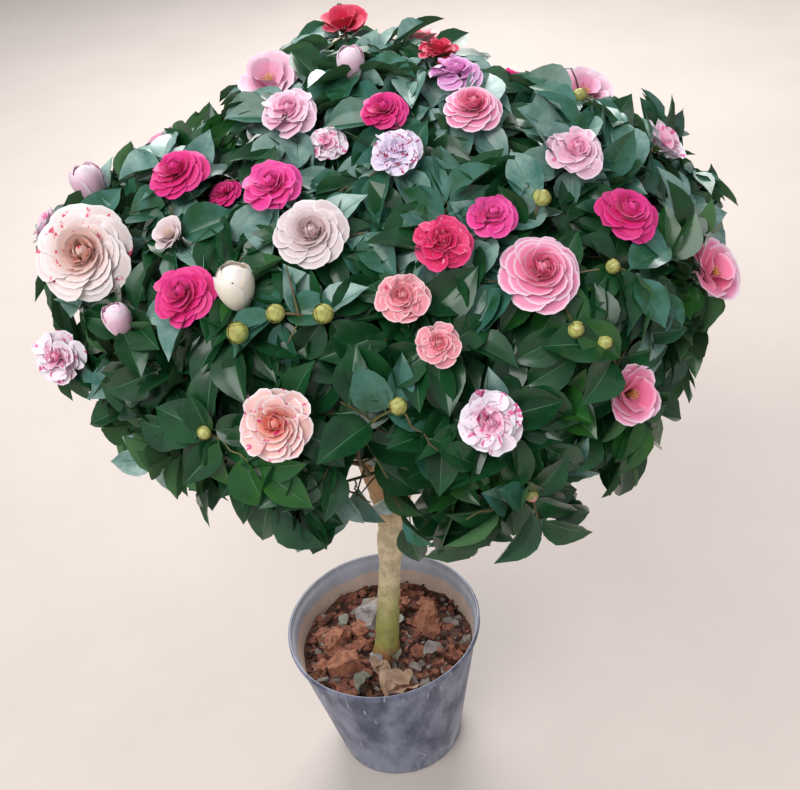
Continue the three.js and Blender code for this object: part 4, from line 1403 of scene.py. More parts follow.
def limb_strokes(plant):
    """Fine lines, radii, sides and outlines of the trunk, the boughs and the masses' stems."""
    points = bezier(plant.limbs["trunk"].controls, BARK.steps)
    above = np.maximum(points[:, 2] - TRUNK.foot[2], 0)
    radii = trunk_radii(points[:, 2], 1) - BARK.skin - BARK.flare * np.exp(-above / TRUNK.flare_height)
    end = np.clip(np.linspace(0, 1, len(points)) - BARK.end, 0, 1) / BARK.end_length
    radii *= np.sqrt(np.clip(1 - end**2, 0.03, 1))
    lobes = TRUNK.lobe_depth * np.exp(-above / (2 * TRUNK.flare_height))
    strokes = [(points, radii, BARK.sides, functools.partial(lobed, lobes))]
    for growth in plant.growths:
        bough = plant.limbs[growth.mass.name]
        line = np.concatenate((bezier(bough.controls, BARK.bough_steps), growth.stem[1:]))
        butt, tip = bough.radii[0], bough.radii[-1]
        limb = np.linspace(butt, tip, BARK.bough_steps + 1)
        radii = np.concatenate((limb, np.linspace(tip, STEM.tip_radius, 3)[1:]))
        collar = 1 + BARK.collar * np.exp(-np.arange(len(radii)) / BARK.collar_steps)
        strokes.append((shaped(line), radii * collar, BARK.bough_sides))
    return strokes


def bark_relief(mesh):
    """Moves the bark's points out and in: swellings, shallow ridges and old leaf scars."""
    places = np.zeros(len(mesh.vertices) * 3)
    normals = np.zeros(len(mesh.vertices) * 3)
    mesh.vertices.foreach_get("co", places)
    mesh.vertices.foreach_get("normal", normals)
    places = places.reshape(-1, 3) / MM
    swell = np.array([noise.noise(Vector(place) * 0.022) for place in places])
    ridge = np.array([noise.noise((x * 0.16, y * 0.16, z * 0.035)) for x, y, z in places])
    fine = np.array([noise.noise((x * 0.5, y * 0.5, z * 0.22)) for x, y, z in places])
    scars = np.exp(-((places[:, 2] * 0.045 + swell * 1.2) % 1.0 - 0.5) ** 2 / 0.006)
    shift = 1.0 * swell + 0.75 * ridge + 0.35 * fine + 0.4 * scars
    shift *= smoothstep(places[:, 2], MIX_LEVEL + 1, MIX_LEVEL + 12) * 0.8 + 0.2
    places += normals.reshape(-1, 3) * shift[:, None]
    mesh.vertices.foreach_set("co", (places * MM).ravel())
    mesh.update()


def bark_material(look):
    """Smooth bark, yellow-green on the trunk, greener low down, rusty at the foot, tan on the boughs."""
    finish = Finish("smooth_bark")
    place = finish.place
    wobble = finish.times(finish.math("SUBTRACT", finish.noise(place, 22, 3), 0.5), 0.09)
    level = finish.math("ADD", finish.split(place)["Z"], wobble)
    tint = look.foot
    for low, high, bark in ((0.215, 0.25, look.low_bark), (0.27, 0.37, look.bark), (0.43, 0.52, look.bough)):
        tint = finish.mix(finish.ramp(level, low, high), tint, bark)
    patches = finish.group(mottle_group(), Vector=place, Scale=55.0, Contrast=0.12)["Mask"]
    patched = finish.mix(finish.times(patches, 0.45), tint, look.lichen)
    grain = finish.grain(place, 320.0, 0.25)
    cracks = finish.times(finish.less(finish.ramp(grain, 0.3, 0.42)), 0.5)
    return finish.shaded(finish.mix(cracks, patched, look.crack), 0.72, (grain, 0.35, 0.0012))


def twig_material(look):
    """Young bark of twigs, brown with a green flush."""
    finish = Finish("twig_bark")
    tint = finish.mottle(finish.place, 26.0, 0.14, look.twig, look.young_twig)
    return finish.shaded(tint, 0.6, (finish.grain(finish.place, 600.0, 0.6), 0.3, 0.0008))


# Twigs

WIGGLE = 0.012
THIN = Record(base=1.25, tip=0.75, length=0.5, zigzag=2.2, sink=1.5, lift=4, steps=5)
PIPE = Record(tip=1.35, gain=0.75, most=4.4, sides=6)


def rounded(points, draw):
    """A twig's line with its corner rounded and a slight wander."""
    start, bend, tip = points
    first, last = lerp(start, bend, 0.7), lerp(bend, tip, 0.26)
    t = np.linspace(0, 1, 5)[:, None]
    corner = (1 - t) ** 2 * first + 2 * (1 - t) * t * bend + t * t * last
    legs = np.array([start, lerp(start, bend, 0.35), *corner, lerp(bend, tip, 0.65), tip])
    reach = np.linalg.norm(tip - start)
    for i in (1, 7):
        legs[i] += (np.array([next(draw), next(draw), next(draw)]) - 0.5) * reach * WIGGLE * 2
    return legs


def twig_radii(twig, count):
    """Radii along a twig from what it carries."""
    butt = min(PIPE.tip + PIPE.gain * math.sqrt(twig.tips), PIPE.most)
    return np.linspace(butt, PIPE.tip, count)


def thin_line(spray, draw):
    """Zigzag line of the fine twig that a spray's leaves stand on."""
    side = np.cross(spray.face, spray.axis)
    reach = spray.length * THIN.length
    line = [spray.root - spray.axis * THIN.sink]
    for i in range(1, THIN.steps + 1):
        share = i / THIN.steps
        swing = THIN.zigzag * (0.5 if i == THIN.steps else 1) * (1 if i % 2 else -1)
        wander = swing * (0.6 + 0.8 * next(draw))
        line.append(
            spray.root + spray.axis * reach * share + side * wander + spray.face * (THIN.lift * share * share)
        )
    return np.array(line)


def thin_radii(line):
    """Radii along a fine twig."""
    return np.linspace(THIN.base, THIN.tip, len(line))


# Leaves

LEAF_TILT = 1.0
# Shares of the leaf tones: bluish and pale are painted sheen, a few anywhere and more towards their sheen
# shares high up, at the sides and low down
TONES = Record(
    deep=0.54, mid=0.34, bluish=0.05, sheen_bluish=0.34, pale=0.01, sheen_pale=0.62,
    low=85, high=225, inner=190, outer=370, foot=20, sole=180, most=0.9,
)
SIDE_LEAVES = Record(count=8, first=0.12, last=0.92, base=1.05, tip=0.62)
LEAF_SIZES = Record(least=50, most=74, narrow=0.8, wide=1.04)
DROOP = Record(least=0.12, more=0.85, depth=190)

# Seeds of the random draws, counted from the plant's own
STREAMS = Record(leaves=100, twigs=200, sepals=300, stamens=400, buds=500, petals=600)

# Colours of each tone's leaves, above and in its lighter patches. The bluish and pale tones are painted sheen
# of the sky on the leaves' tops
LEAF_TONES = (("deep", "mid"), ("mid", "deep"), ("bluish", "mid"), ("pale", "bluish"), ("fresh", "mid"))

# Fold, droop, wave and twist of each shape of leaf
LEAF_SHAPES = (
    (0.3, 0.16, 0.012, 0.0), (0.22, 0.3, 0.016, 0.1), (0.42, 0.08, 0.01, -0.12), (0.16, 0.22, 0.02, 0.25),
)

# Outline of a leaf, as the share of its length and half its width there, and its columns
BLADE = (
    (0.0, 0.012), (0.08, 0.015), (0.12, 0.11), (0.2, 0.205), (0.33, 0.283), (0.48, 0.312), (0.63, 0.29),
    (0.77, 0.208), (0.88, 0.11), (0.95, 0.042), (1.0, 0.003),
)
BLADE_COLUMNS = (-1, -0.5, -0.027, 0.027, 0.5, 1)

# Where the photograph's crown is fuller or slimmer than an ellipsoid: direction, spread and factor
SHAPING = (
    ((-0.6, 0.37, 0.7), 38, 0.81), ((0.6, 0.4, 0.7), 35, 0.7), ((0.95, -0.25, 0.12), 36, 0.93),
    ((0.32, -0.82, -0.48), 30, 1.04), ((-0.95, -0.3, 0.0), 28, 0.955), ((0.84, -0.47, 0.24), 10, 1.08),
    ((0.66, -0.03, 0.76), 9, 1.08), ((0.7, -0.62, -0.33), 16, 0.92), ((0.46, -0.77, -0.45), 12, 1.11),
    ((-0.86, 0.14, 0.5), 11, 1.07), ((-0.92, 0.0, 0.39), 8, 1.05), ((-0.94, -0.34, 0.05), 9, 1.03),
)
OPENING = Record(
    start=np.array((33.0, 0.0, 470.0)), end=np.array((42.0, -400.0, 875.0)), radius=46, kept=0.12,
)

# Thin shoots: below low twigs on the right, and inside the crown
HANGING = Record(right_of=60, below=-35, length=34, past=0.12, leaves=4, level=0.45)
INNER = Record(count=3, turn=2.1, length=48, past=0.0, leaves=5)
TIP_LEAVES = Record(count=4, turn=2.4, apart=5)
STALK = Record(base=2.2, tip=1.8)

# Leaves round the foot of a bloom or a bud
BLOOM_RUFF = Record(count=6, behind=0.55, stray=0.5, nod=0.75, lean=0.5, off=4, lift=0.15, size=1.02)
BUD_RUFF = Record(count=4, behind=1.3, stray=0.6, nod=0.9, lean=0.4, off=3, lift=0.2, size=1)

# Room that leaves keep clear, in a bloom's radii: along its axis, and along its sight to the camera
CLEAR = Record(near=-0.4, far=1.5, beside=0.92, of_limbs=9)
SHOWN = Record(near=0.3, far=5.0, beside=0.98, least=-0.2)


def shaped(points):
    """Points with the crown's outer part drawn in or let out in its directions."""
    offsets = (points - CROWN_CENTRE) / CROWN_HALF
    share = np.linalg.norm(offsets, axis=1)
    change = np.zeros(len(points))
    for toward, spread, factor in SHAPING:
        near = offsets @ unit(toward) / np.maximum(share, 1e-6)
        change += (factor - 1) * smoothstep(near, math.cos(math.radians(spread)), 1)
    change *= smoothstep(share, 0.45, 0.95)
    return CROWN_CENTRE + (points - CROWN_CENTRE) * (1 + change)[:, None]


def leaf_shape(fold, droop, wave, twist):
    """One leaf, 1 long with its stalk's foot at the origin: pointed oval blade with a sunk midrib."""
    share, half = (values[:, None] for values in np.array(BLADE).T)
    columns = np.array(BLADE_COLUMNS)
    aside = columns * half
    ripple = wave * np.sin(share * 17 + np.sign(columns) * 0.8) * (half > 0.05)
    rise = fold * np.abs(columns) * half * 2 + ripple * np.abs(columns) ** 2
    rise = rise - droop * share**2 + 0.18 * droop * share + np.where(np.abs(columns) < 0.1, -0.004, 0)
    rise = rise + twist * columns * half * share
    along_leaf = np.broadcast_to(share, aside.shape)
    places = np.stack((along_leaf, aside, rise), axis=-1)
    uvs = np.stack((np.broadcast_to(columns / 2 + 0.5, aside.shape), along_leaf), axis=-1)
    mesh = grid_shape(places, uvs=uvs).mesh("leaf")
    rows, gaps = aside.shape[0] - 1, aside.shape[1] - 1
    rib = [row == 0 or gap == gaps // 2 for row in range(rows) for gap in range(gaps)]
    mesh.attributes.new("rib", "BOOLEAN", "FACE").data.foreach_set("value", rib)
    return mesh


def leaf_material(name, top, light, look):
    """Glossy leaf: mottled green above, paler below, with faint side veins."""
    finish = Finish(name)
    tint = finish.mottle(finish.place, 30.0, 0.22, top, light)
    split = finish.split(finish.value("ShaderNodeTexCoord", output="UV"))
    slant = finish.math("SUBTRACT", split["Y"], finish.times(finish.from_middle(split["X"]), 0.35))
    veins = finish.math("ABSOLUTE", finish.math("SINE", finish.times(slant, 26)))
    line = finish.less(finish.ramp(veins, 0.0, 0.3))
    veined = finish.mix(finish.times(line, 0.08), tint, light)
    behind = finish.value("ShaderNodeNewGeometry", output="Backfacing")
    both = finish.mix(behind, veined, look.under)
    rough = finish.math("ADD", look.roughness, finish.times(behind, 0.25))
    coat = {"Coat_Roughness": 0.2, "Coat_Weight": look.gloss, "Specular_IOR_Level": 0.2}
    return finish.shaded(both, rough, (line, 0.1, 0.0005), **coat)


def rib_material(look):
    """Pale green midribs and leaf stalks."""
    finish = Finish("leaf_rib")
    darker = [value * 0.7 for value in look.rib]
    return finish.shaded(finish.mottle(finish.place, 60.0, 0.2, look.rib, darker), 0.45)


def rolled(axis, face, angle):
    """A face's direction, rolled about its piece's axis."""
    return around(face, np.cross(axis, face), angle)


def in_front(offsets, ways, radii, room):
    """Which places, as offsets from blooms, lie in a room before them along given ways."""
    ahead, beside = ahead_and_beside(offsets, ways)
    return (ahead > room.near * radii) & (ahead < room.far * radii) & (beside < room.beside * radii)


class LeafRows(Rows):
    """Gathers the leaves of one mass."""

    def __init__(self, plant, growth, draw):
        super().__init__()
        self.blooms = plant.obstacles
        sights = np.array(CAMERA_PLACE) / MM - self.blooms.centres
        self.sights = sights / np.linalg.norm(sights, axis=1)[:, None]
        self.reach = growth.mass.reach + SPRAY.past
        self.draw = draw

    def add(self, place, axis, face, size, tone, past=0.0):
        """Adds a leaf unless it would hide a bloom, pass through one or leave the crown."""
        draw = self.draw
        blooms = self.blooms
        chance = next(draw)
        axis = unit(axis)
        tilt = (next(draw) - 0.5) * LEAF_TILT
        face = rolled(axis, square_to(axis, face), tilt)
        width = lerp(LEAF_SIZES.narrow, LEAF_SIZES.wide, next(draw))
        kind = int(next(draw) * len(LEAF_SHAPES))
        points = place + axis * size * np.array((0.35, 0.7, 1.0))[:, None]
        offsets = points[:, None] - blooms.centres
        if np.any(in_front(offsets, blooms.facings, blooms.radii, CLEAR)):
            return
        lit = blooms.facings @ LIGHT > SHOWN.least
        if np.any(lit & in_front(offsets, self.sights, blooms.radii, SHOWN)):
            return
        if share_of_crown(points[-1]) > self.reach + past:
            return
        if in_opening(points) and chance > OPENING.kept:
            return
        if np.any(blooms.from_limbs(points) < CLEAR.of_limbs):
            return
        super().add(place, axis, face, size, width, kind, tone)


def in_opening(points):
    """True where a point lies in the opening before the fork."""
    span = OPENING.end - OPENING.start
    offsets = points - OPENING.start
    shares = np.clip(offsets @ span / (span @ span), 0, 1)
    return bool(np.any(np.linalg.norm(offsets - shares[:, None] * span, axis=1) < OPENING.radius))


def pick_tone(draw, place):
    """Tone of a spray's leaves: the pale and bluish tones are painted sheen of the sky, dealt oftener high
    up, at the sides and low down.
    """
    chance = next(draw)
    height = smoothstep(place[2] - CROWN_CENTRE[2], TONES.low, TONES.high)
    beside = smoothstep(abs(place[0] - CROWN_CENTRE[0]), TONES.inner, TONES.outer)
    below = smoothstep(CROWN_CENTRE[2] - place[2], TONES.foot, TONES.sole)
    # How much painted sheen of the sky the spray's leaves get here
    sheen = 1 - (1 - height) * (1 - TONES.most * beside) * (1 - TONES.most * below)
    bluish = lerp(TONES.bluish, TONES.sheen_bluish, sheen)
    pale = lerp(TONES.pale, TONES.sheen_pale, sheen)
    rest = 1 - bluish - pale
    shares = np.cumsum((TONES.deep * rest, TONES.mid * rest, bluish, pale))
    return int(np.sum(chance > shares))


def droop_at(place):
    """How far leaves hang, more so low on the crown."""
    return DROOP.least + DROOP.more * float(smoothstep(CROWN_CENTRE[2] - place[2], 0, DROOP.depth))


def leaf_size(draw):
    """Length of a leaf."""
    return lerp(LEAF_SIZES.least, LEAF_SIZES.most, next(draw))


def turn_about(side, i):
    """The side of a twig on which the leaf of a number stands."""
    return side * (1 if i % 2 else -1)


def side_shoot(leaves, start, down, shoot, face, tone):
    """A thin shoot from a twig, with leaves along it and one at its tip."""
    draw = leaves.draw
    side = np.cross(down, square_to(down, face))
    shares = np.linspace(0, 1, 5)[:, None]
    line = start + down * shoot.length * shares + UP * 8 * shares * (1 - shares)
    for i in range(shoot.leaves):
        share = i / (shoot.leaves - 1)
        spread = 0.0 if share == 1 else 0.75 + 0.3 * next(draw)
        axis = around(down, turn_about(side, i), spread) + face * 0.2 * (next(draw) - 0.3)
        leaves.add(lerp(start, line[-1], share), axis, face, leaf_size(draw), tone, shoot.past)
    return line, thin_radii(line)


def spray_leaves(leaves, spray):
    """Adds the leaves of a spray. Returns the line and radii of its fine twig."""
    draw = leaves.draw
    tone = pick_tone(draw, spray.root)
    line = thin_line(spray, draw)
    side = np.cross(spray.face, spray.axis)
    leaves.add(line[-1], spray.axis + spray.face * 0.05, spray.face, leaf_size(draw) * 0.95, tone)
    for i in range(SIDE_LEAVES.count):
        share = lerp(SIDE_LEAVES.first, SIDE_LEAVES.last, i / (SIDE_LEAVES.count - 1))
        place, _ = along(line, share)
        angle = lerp(SIDE_LEAVES.base, SIDE_LEAVES.tip, share) + (next(draw) - 0.5) * 0.3
        rise = (next(draw) - 0.35) * 0.7
        axis = around(spray.axis, turn_about(side, i), angle) + spray.face * rise
        leaves.add(place, axis - UP * droop_at(place), spray.face, leaf_size(draw), tone)
    return line, thin_radii(line)


def twig_leaves(leaves, twig):
    """Adds the leaves along a twig. Returns the lines and radii of its thin shoots."""
    draw = leaves.draw
    tone = pick_tone(draw, twig.points[2])
    start, bend, tip = twig.points
    toward = unit(tip - bend)
    side, other = across(toward)
    out = outward(tip)
    spin = next(draw) * TURN
    if twig.bloom is None:
        for i in range(TIP_LEAVES.count):
            aside = around(side, other, spin + i * TIP_LEAVES.turn)
            axis = toward * 0.5 + aside * 0.8 + out * 0.25
            place = tip - toward * TIP_LEAVES.apart * i
            leaves.add(place, axis, out + UP * 0.3, leaf_size(draw), tone)
    for i in range(TIP_LEAVES.count):
        aside = around(side, other, spin + 1 + i * TIP_LEAVES.turn)
        axis = toward * 0.35 + aside + out * 0.2
        leaves.add(lerp(bend, tip, 0.15 + 0.2 * i), axis, out + UP * 0.4, leaf_size(draw), tone)
    shoots = []
    for i in range(INNER.count):
        aside = unit(around(side, other, spin + 2 + i * INNER.turn) + toward * 0.3)
        place = lerp(start, bend, 0.35 + 0.3 * i)
        shoots.append(side_shoot(leaves, place, aside, INNER, unit(out + UP * 0.4), 0))
    low = tip[2] - CROWN_CENTRE[2] < HANGING.below and tip[0] > HANGING.right_of and tip[1] < 0
    if twig.bloom is None and low:
        level = unit(out * (1, 1, 0))
        shoots.append(side_shoot(leaves, tip, unit(level * HANGING.level - UP), HANGING, level, tone))
    return shoots


def ruff(leaves, one, facing, kind):
    """Adds a ring of leaves round the foot of a bloom or a bud."""
    draw = leaves.draw
    tone = pick_tone(draw, one.centre)
    side, other = across(facing)
    spin = next(draw) * TURN
    neck = one.centre - facing * one.radius * kind.behind
    for i in range(kind.count):
        angle = spin + i * TURN / kind.count + (next(draw) - 0.5) * kind.stray
        aside = around(side, other, angle)
        axis = aside + facing * (next(draw) - kind.nod) * kind.lean
        leaves.add(neck + aside * kind.off, axis, facing + UP * kind.lift, leaf_size(draw) * kind.size, tone)


def mass_leaves(plant, growth):
    """Every leaf of a mass and the lines of its fine twigs."""
    leaves = LeafRows(plant, growth, seeded(SEED + STREAMS.leaves + growth.mass.index))
    thin = [spray_leaves(leaves, spray) for spray in growth.sprays]
    for twig in growth.twigs:
        thin += twig_leaves(leaves, twig)
        if twig.bloom is not None:
            foot = bloom_foot(plant.blooms[twig.bloom])
            thin.append((np.linspace(twig.points[2], foot, 3), np.linspace(STALK.base, STALK.tip, 3)))
    for index in growth.blooms:
        bloom = plant.blooms[index]
        ruff(leaves, bloom, shown_facing(bloom), BLOOM_RUFF)
    for bud in growth.buds:
        ruff(leaves, bud, bud.facing, BUD_RUFF)
    return leaves.arrays(shaped), thin


# Blooms

RINGS = Record(
    count=6, usual=34, least=4, most=8, first=0.17, core=0.15, dome=0.58, flat_dome=0.34, roll=0.17,
)
CUP = Record(petals=10, inner=3)
WRAPS = Record(petals=5, slim=0.74, length=2.95)
SEPALS = Record(count=7, ring=5, slopes={"rose": 1.2, "cup": 0.9, "bud": 0.5})
SEPAL_LENGTHS = {"rose": 15, "cup": 16, "bud": 15}
STAMENS = Record(count=26, lean=0.3, behind=0.3, apart=4)
POINTED_EGG = (
    (0, 0.3), (0.1, 0.66), (0.28, 0.94), (0.48, 1.0), (0.68, 0.86), (0.84, 0.58), (0.94, 0.28), (1, 0.02),
)
EGG = ((0, 0.32), (0.12, 0.66), (0.35, 0.93), (0.58, 1.0), (0.78, 0.87), (0.92, 0.55), (1.0, 0.02))

# Shapes of petals: width, hollow, bend, turned rim and ripple. First of each kind among all shapes
ROSE_SHAPES = (
    (1.15, 0.3, 0.16, 0.0, 0.0), (1.35, 0.22, 0.1, 0.03, 0.008), (1.35, 0.16, 0.06, 0.08, 0.014),
    (1.25, 0.13, 0.04, 0.13, 0.02),
)
CUP_SHAPES = ((1.15, 0.26, 0.16, 0.16, 0.02), (1.05, 0.3, 0.1, 0.2, 0.03))
WRAP_SHAPES = ((math.pi, 1.0, 0.0), (1.5, 0.93, 0.05), (1.3, 0.84, 0.1))
RUFFLED_SHAPES = ((1.3, 0.18, 0.1, 0.1, 0.045), (1.15, 0.3, 0.18, 0.02, 0.06))
KINDS = Record(cup=4, core=6, wrap=7, ruffled=9)

# How far blooms of a form or colour turn up, and how far below its centre a bloom's foot lies
LIFTS = {
    "bud": 0.88, "magenta": 0.72, "hot_pink": 0.7, "crimson": 0.6, "lilac": 0.5, "coral": 0.45, "rose": 0.32,
    "pale_pink": 0.35, "crimson_edged": 0.2, "lilac_blotched": 0.2,
}
TURNS = {
    "rose": {"white_streaked": 0.5, "blush_flecked": 0.5, "pale_pink": 0.15, "rose": 0.1},
    "cup": {"pale_pink": 0.4, "crimson": 0.3}, "bud": {},
}
FLAT = ("blush_flecked", "blush")
RUFFLED = {
    "white_streaked": 1.0, "lilac_blotched": 1.0, "crimson_edged": 0.7, "coral": 0.7, "peach_flecked": 0.5,
    "pale_pink": 0.6, "hot_pink": 0.5, "magenta": 0.25, "lilac": 0.6, "crimson": 0.6,
}
DEPTHS = {"rose": 0.3, "cup": 0.5, "bud": 1.15}


def shown_facing(bloom):
    """Where a bloom faces: turned up from its place's normal, some on the light's side towards the light."""
    facing = unit(lerp(bloom.facing, UP, LIFTS.get(bloom.form, LIFTS.get(bloom.colour, 0))))
    if facing @ LIGHT < 0.1:
        return facing
    return unit(lerp(facing, LIGHT, TURNS[bloom.form].get(bloom.colour, 0)))


def axes_of(bloom):
    """Where a bloom faces, and two directions square to that."""
    facing = shown_facing(bloom)
    return facing, *across(facing)


def bloom_foot(bloom):
    """Where a bloom's stalk ends."""
    return bloom.centre - shown_facing(bloom) * bloom.radius * DEPTHS[bloom.form]


# Colours of each family: centre, body, edge and fleck, and the share of flecks. In magenta the paler centre
# and rim are partly the petals' own colour and partly painted highlight where light falls on the bloom
FAMILIES = {
    "blush_flecked": ("F0C4B4", "F4E0DC", "FBF2F0", "E0506E", 0.5),
    "blush": ("E2C6C4", "E0CCCC", "F0E6E6", "C8506E", 0.15),
    "cream": ("EADFA8", "FAEEDC", "FFF8F0", "E8B8A8", 0.1),
    "rose": ("EE6A94", "F793B8", "FFE0EE", "D04478", 0.2),
    "peach_flecked": ("EE8468", "F8C6BE", "FDEEEE", "E0307E", 0.58),
    "white_streaked": ("F2A6C4", "FCECF6", "FFFAFF", "E868A4", 0.66),
    "magenta": ("E8409A", "E01C78", "EE3C98", "A80E44", 0.3),
    "hot_pink": ("EE5AAE", "EE3696", "F560B0", "B81458", 0.25),
    "pale_pink": ("F2A4C4", "F7C6DA", "FDE8F2", "E07AAA", 0.35),
    "lilac_blotched": ("EAD8F0", "F0E0F8", "F9F3FC", "B42064", 0.68),
    "crimson_edged": ("D01458", "E42068", "F04C88", "FACCDC", 0.46),
    "coral": ("EE8C98", "F094A0", "FBD2D4", "D04C68", 0.4),
    "lilac": ("E48CCC", "E8A0D8", "F6D0EC", "C868A8", 0.2),
    "crimson": ("D41C4C", "D41C4A", "EC5070", "8C0C2C", 0.3),
}


def petal_shape(width, cup, bend, reflex, ripple):
    """One petal, 1 long: a round outline fanned out from its foot at the origin, hollow towards its face."""
    shares = np.array((0.1, 0.42, 0.68, 0.87, 1.0))[:, None]
    turns = np.linspace(-1, 1, 9) * math.radians(118)
    ahead = shares * (0.55 + 0.45 * np.cos(turns))
    aside = shares * np.sin(turns) * width / 2
    rise = cup * (2 * aside / width) ** 2 + bend * ahead**2 - reflex * smoothstep(shares, 0.6, 1.0) * shares
    rise = rise + ripple * np.sin(turns * 5 + width * 20) * shares**4
    return patch("petal", np.stack((ahead, aside, rise), axis=-1))


def patch(name, places):
    """Mesh of a grid of places, with UVs across and along it."""
    rows, columns = places.shape[:2]
    uvs = [(j / (columns - 1), i / (rows - 1)) for i in range(rows) for j in range(columns)]
    return grid_shape(places, uvs=uvs).mesh(name)


def petal_material(name, look):
    """Soft petal, coloured from the centre of the bloom to its rim, with its family's flecks."""
    *tints, flecks = FAMILIES[name]
    centre, body, edge, fleck = map(colour, tints)
    finish = Finish(f"petal_{name}")
    petal = finish.group(
        petal_group(), Place=finish.value("ShaderNodeTexCoord", output="UV"),
        Ring=finish.value("ShaderNodeAttribute", output="Fac", attribute_name="ring"),
        Chance=finish.value("ShaderNodeAttribute", output="Fac", attribute_name="chance"),
        Centre=centre, Body=body, Edge=edge, Fleck=fleck, Flecks=flecks, Edge_Width=look.edge,
    )
    return finish.shaded(petal["Color"], 0.55, (petal["Vein"], 0.2, 0.0006), Sheen_Weight=0.15)


def petal_rows():
    """Gathers petals, scales or stamens, each with its ring in the bloom and a chance value."""
    return Rows("ring", "chance")


def rose_petals(petals, bloom, tone, draw):
    """Rings of broad overlapping petals in a dome, upright in the middle and bent back at the rim."""
    facing, side, other = axes_of(bloom)
    radius = bloom.radius
    dome = RINGS.flat_dome if bloom.colour in FLAT else RINGS.dome
    rings = round(RINGS.count * (radius / RINGS.usual) ** 0.3)
    loose = RUFFLED.get(bloom.colour, 0)
    spin = next(draw) * TURN
    core = radius * RINGS.core
    top = bloom.centre + facing * radius * (dome + 0.03)
    foot = top - facing * core * WRAPS.length
    wraps = ((side, core, KINDS.wrap), (-side, core, KINDS.wrap), (other, core * 0.85, KINDS.core))
    for face, size, kind in wraps:
        petals.add(foot, facing, face, size, 1.0, kind, tone, 0.0, next(draw))
    for ring in range(rings):
        share = ring / (rings - 1)
        count = round(lerp(RINGS.least, RINGS.most, share))
        for i in range(count):
            even = spin + ring * 0.3 + (i + ring % 2 / 2) * TURN / count
            radial = around(side, other, even + (next(draw) - 0.5) * 0.16)
            reach = radius * lerp(RINGS.first, 1, share**0.85) * (0.96 + 0.06 * next(draw))
            reach *= 1 - 0.16 * loose * next(draw)
            height = radius * dome * (1 - (reach / radius) ** 2)
            slope = math.radians(lerp(10, 98, share**0.72)) + (next(draw) - 0.5) * (0.12 + 0.75 * loose)
            length = radius * lerp(0.44, 0.72, share)
            axis = around(facing, radial, slope)
            roll = RINGS.roll + (next(draw) - 0.5) * 0.9 * loose
            face = rolled(axis, around(-radial, facing, slope), roll)
            place = bloom.centre + radial * reach + facing * height - axis * length
            kind = min(int(share * 4), 3) if next(draw) > loose else KINDS.ruffled + i % 2
            petals.add(place, axis, face, length, 0.94 + 0.12 * next(draw), kind, tone, share, next(draw))


def cup_petals(petals, bloom, tone, draw):
    """Few broad petals in an open cup, the inner ones upright."""
    facing, side, other = axes_of(bloom)
    radius = bloom.radius
    spin = next(draw) * TURN
    for i in range(CUP.petals):
        inner = i < CUP.inner
        share = i / CUP.petals
        radial = around(side, other, spin + i * GOLDEN_TURN + (next(draw) - 0.5) * 0.2)
        reach = lerp(0.42, 0.55, next(draw)) if inner else lerp(0.8, 1.02, share)
        tip = radial * radius * reach + facing * radius * (0.5 if inner else lerp(0.42, 0.2, share))
        foot = radial * radius * 0.06 - facing * radius * 0.36
        length = float(np.linalg.norm(tip - foot))
        axis = (tip - foot) / length
        face = rolled(axis, unit(np.cross(np.cross(axis, facing), axis)), RINGS.roll)
        ring = 0.3 if inner else 0.9
        width = 0.92 + 0.15 * next(draw)
        petals.add(bloom.centre + foot, axis, face, length, width, KINDS.cup + i % 2, tone, ring, next(draw))


def bud_petals(petals, bloom, tone, draw):
    """A half-open bud: petals wrapped round each other, still upright."""
    facing, side, other = axes_of(bloom)
    spin = next(draw) * TURN
    foot = bloom_foot(bloom)
    size = bloom.radius * WRAPS.slim
    petals.add(foot, facing, side, size, 1.0, KINDS.core, tone, 0.8, next(draw))
    for i in range(WRAPS.petals):
        radial = around(side, other, spin + i * GOLDEN_TURN)
        kind = KINDS.wrap + i // 3
        petals.add(foot, facing, radial, size * (1.03 + 0.025 * i), 1.0, kind, tone, 0.9, next(draw))


MAKERS = {"rose": rose_petals, "cup": cup_petals, "bud": bud_petals}


def reached_blooms(plant):
    """Every bloom that its mass reaches."""
    return [plant.blooms[index] for growth in plant.growths for index in growth.blooms]


def sepal_rows(plant):
    """Green sepals behind every bloom."""
    draw = seeded(SEED + STREAMS.sepals)
    sepals = petal_rows()
    for bloom in reached_blooms(plant):
        facing, side, other = axes_of(bloom)
        foot = bloom_foot(bloom)
        slope = SEPALS.slopes[bloom.form]
        for i in range(SEPALS.count):
            angle = i * TURN / SEPALS.ring + i // SEPALS.ring * 0.6 + next(draw) * 0.2
            radial = around(side, other, angle)
            axis = around(facing, radial, slope)
            face = around(-radial, facing, slope)
            length = SEPAL_LENGTHS[bloom.form] * (0.9 + 0.2 * next(draw))
            sepals.add(foot, axis, face, length, 1.0, 0, 0, 0.5, next(draw))
    return sepals.arrays(shaped)


def stamen_rows(plant):
    """Stamens in the middle of every open cup."""
    draw = seeded(SEED + STREAMS.stamens)
    stamens = petal_rows()
    for bloom in reached_blooms(plant):
        if bloom.form != "cup":
            continue
        facing, side, other = axes_of(bloom)
        foot = bloom.centre - facing * bloom.radius * STAMENS.behind
        for i in range(STAMENS.count):
            radial = around(side, other, i * GOLDEN_TURN)
            lean = STAMENS.lean * math.sqrt((i + 0.5) / STAMENS.count)
            axis = unit(facing + radial * lean)
            place = foot + radial * STAMENS.apart * lean
            length = bloom.radius * (0.42 + 0.08 * next(draw))
            stamens.add(place, axis, square_to(axis, radial), length, 1.0, 0, 0, 0.5, next(draw))
    return stamens.arrays(shaped)


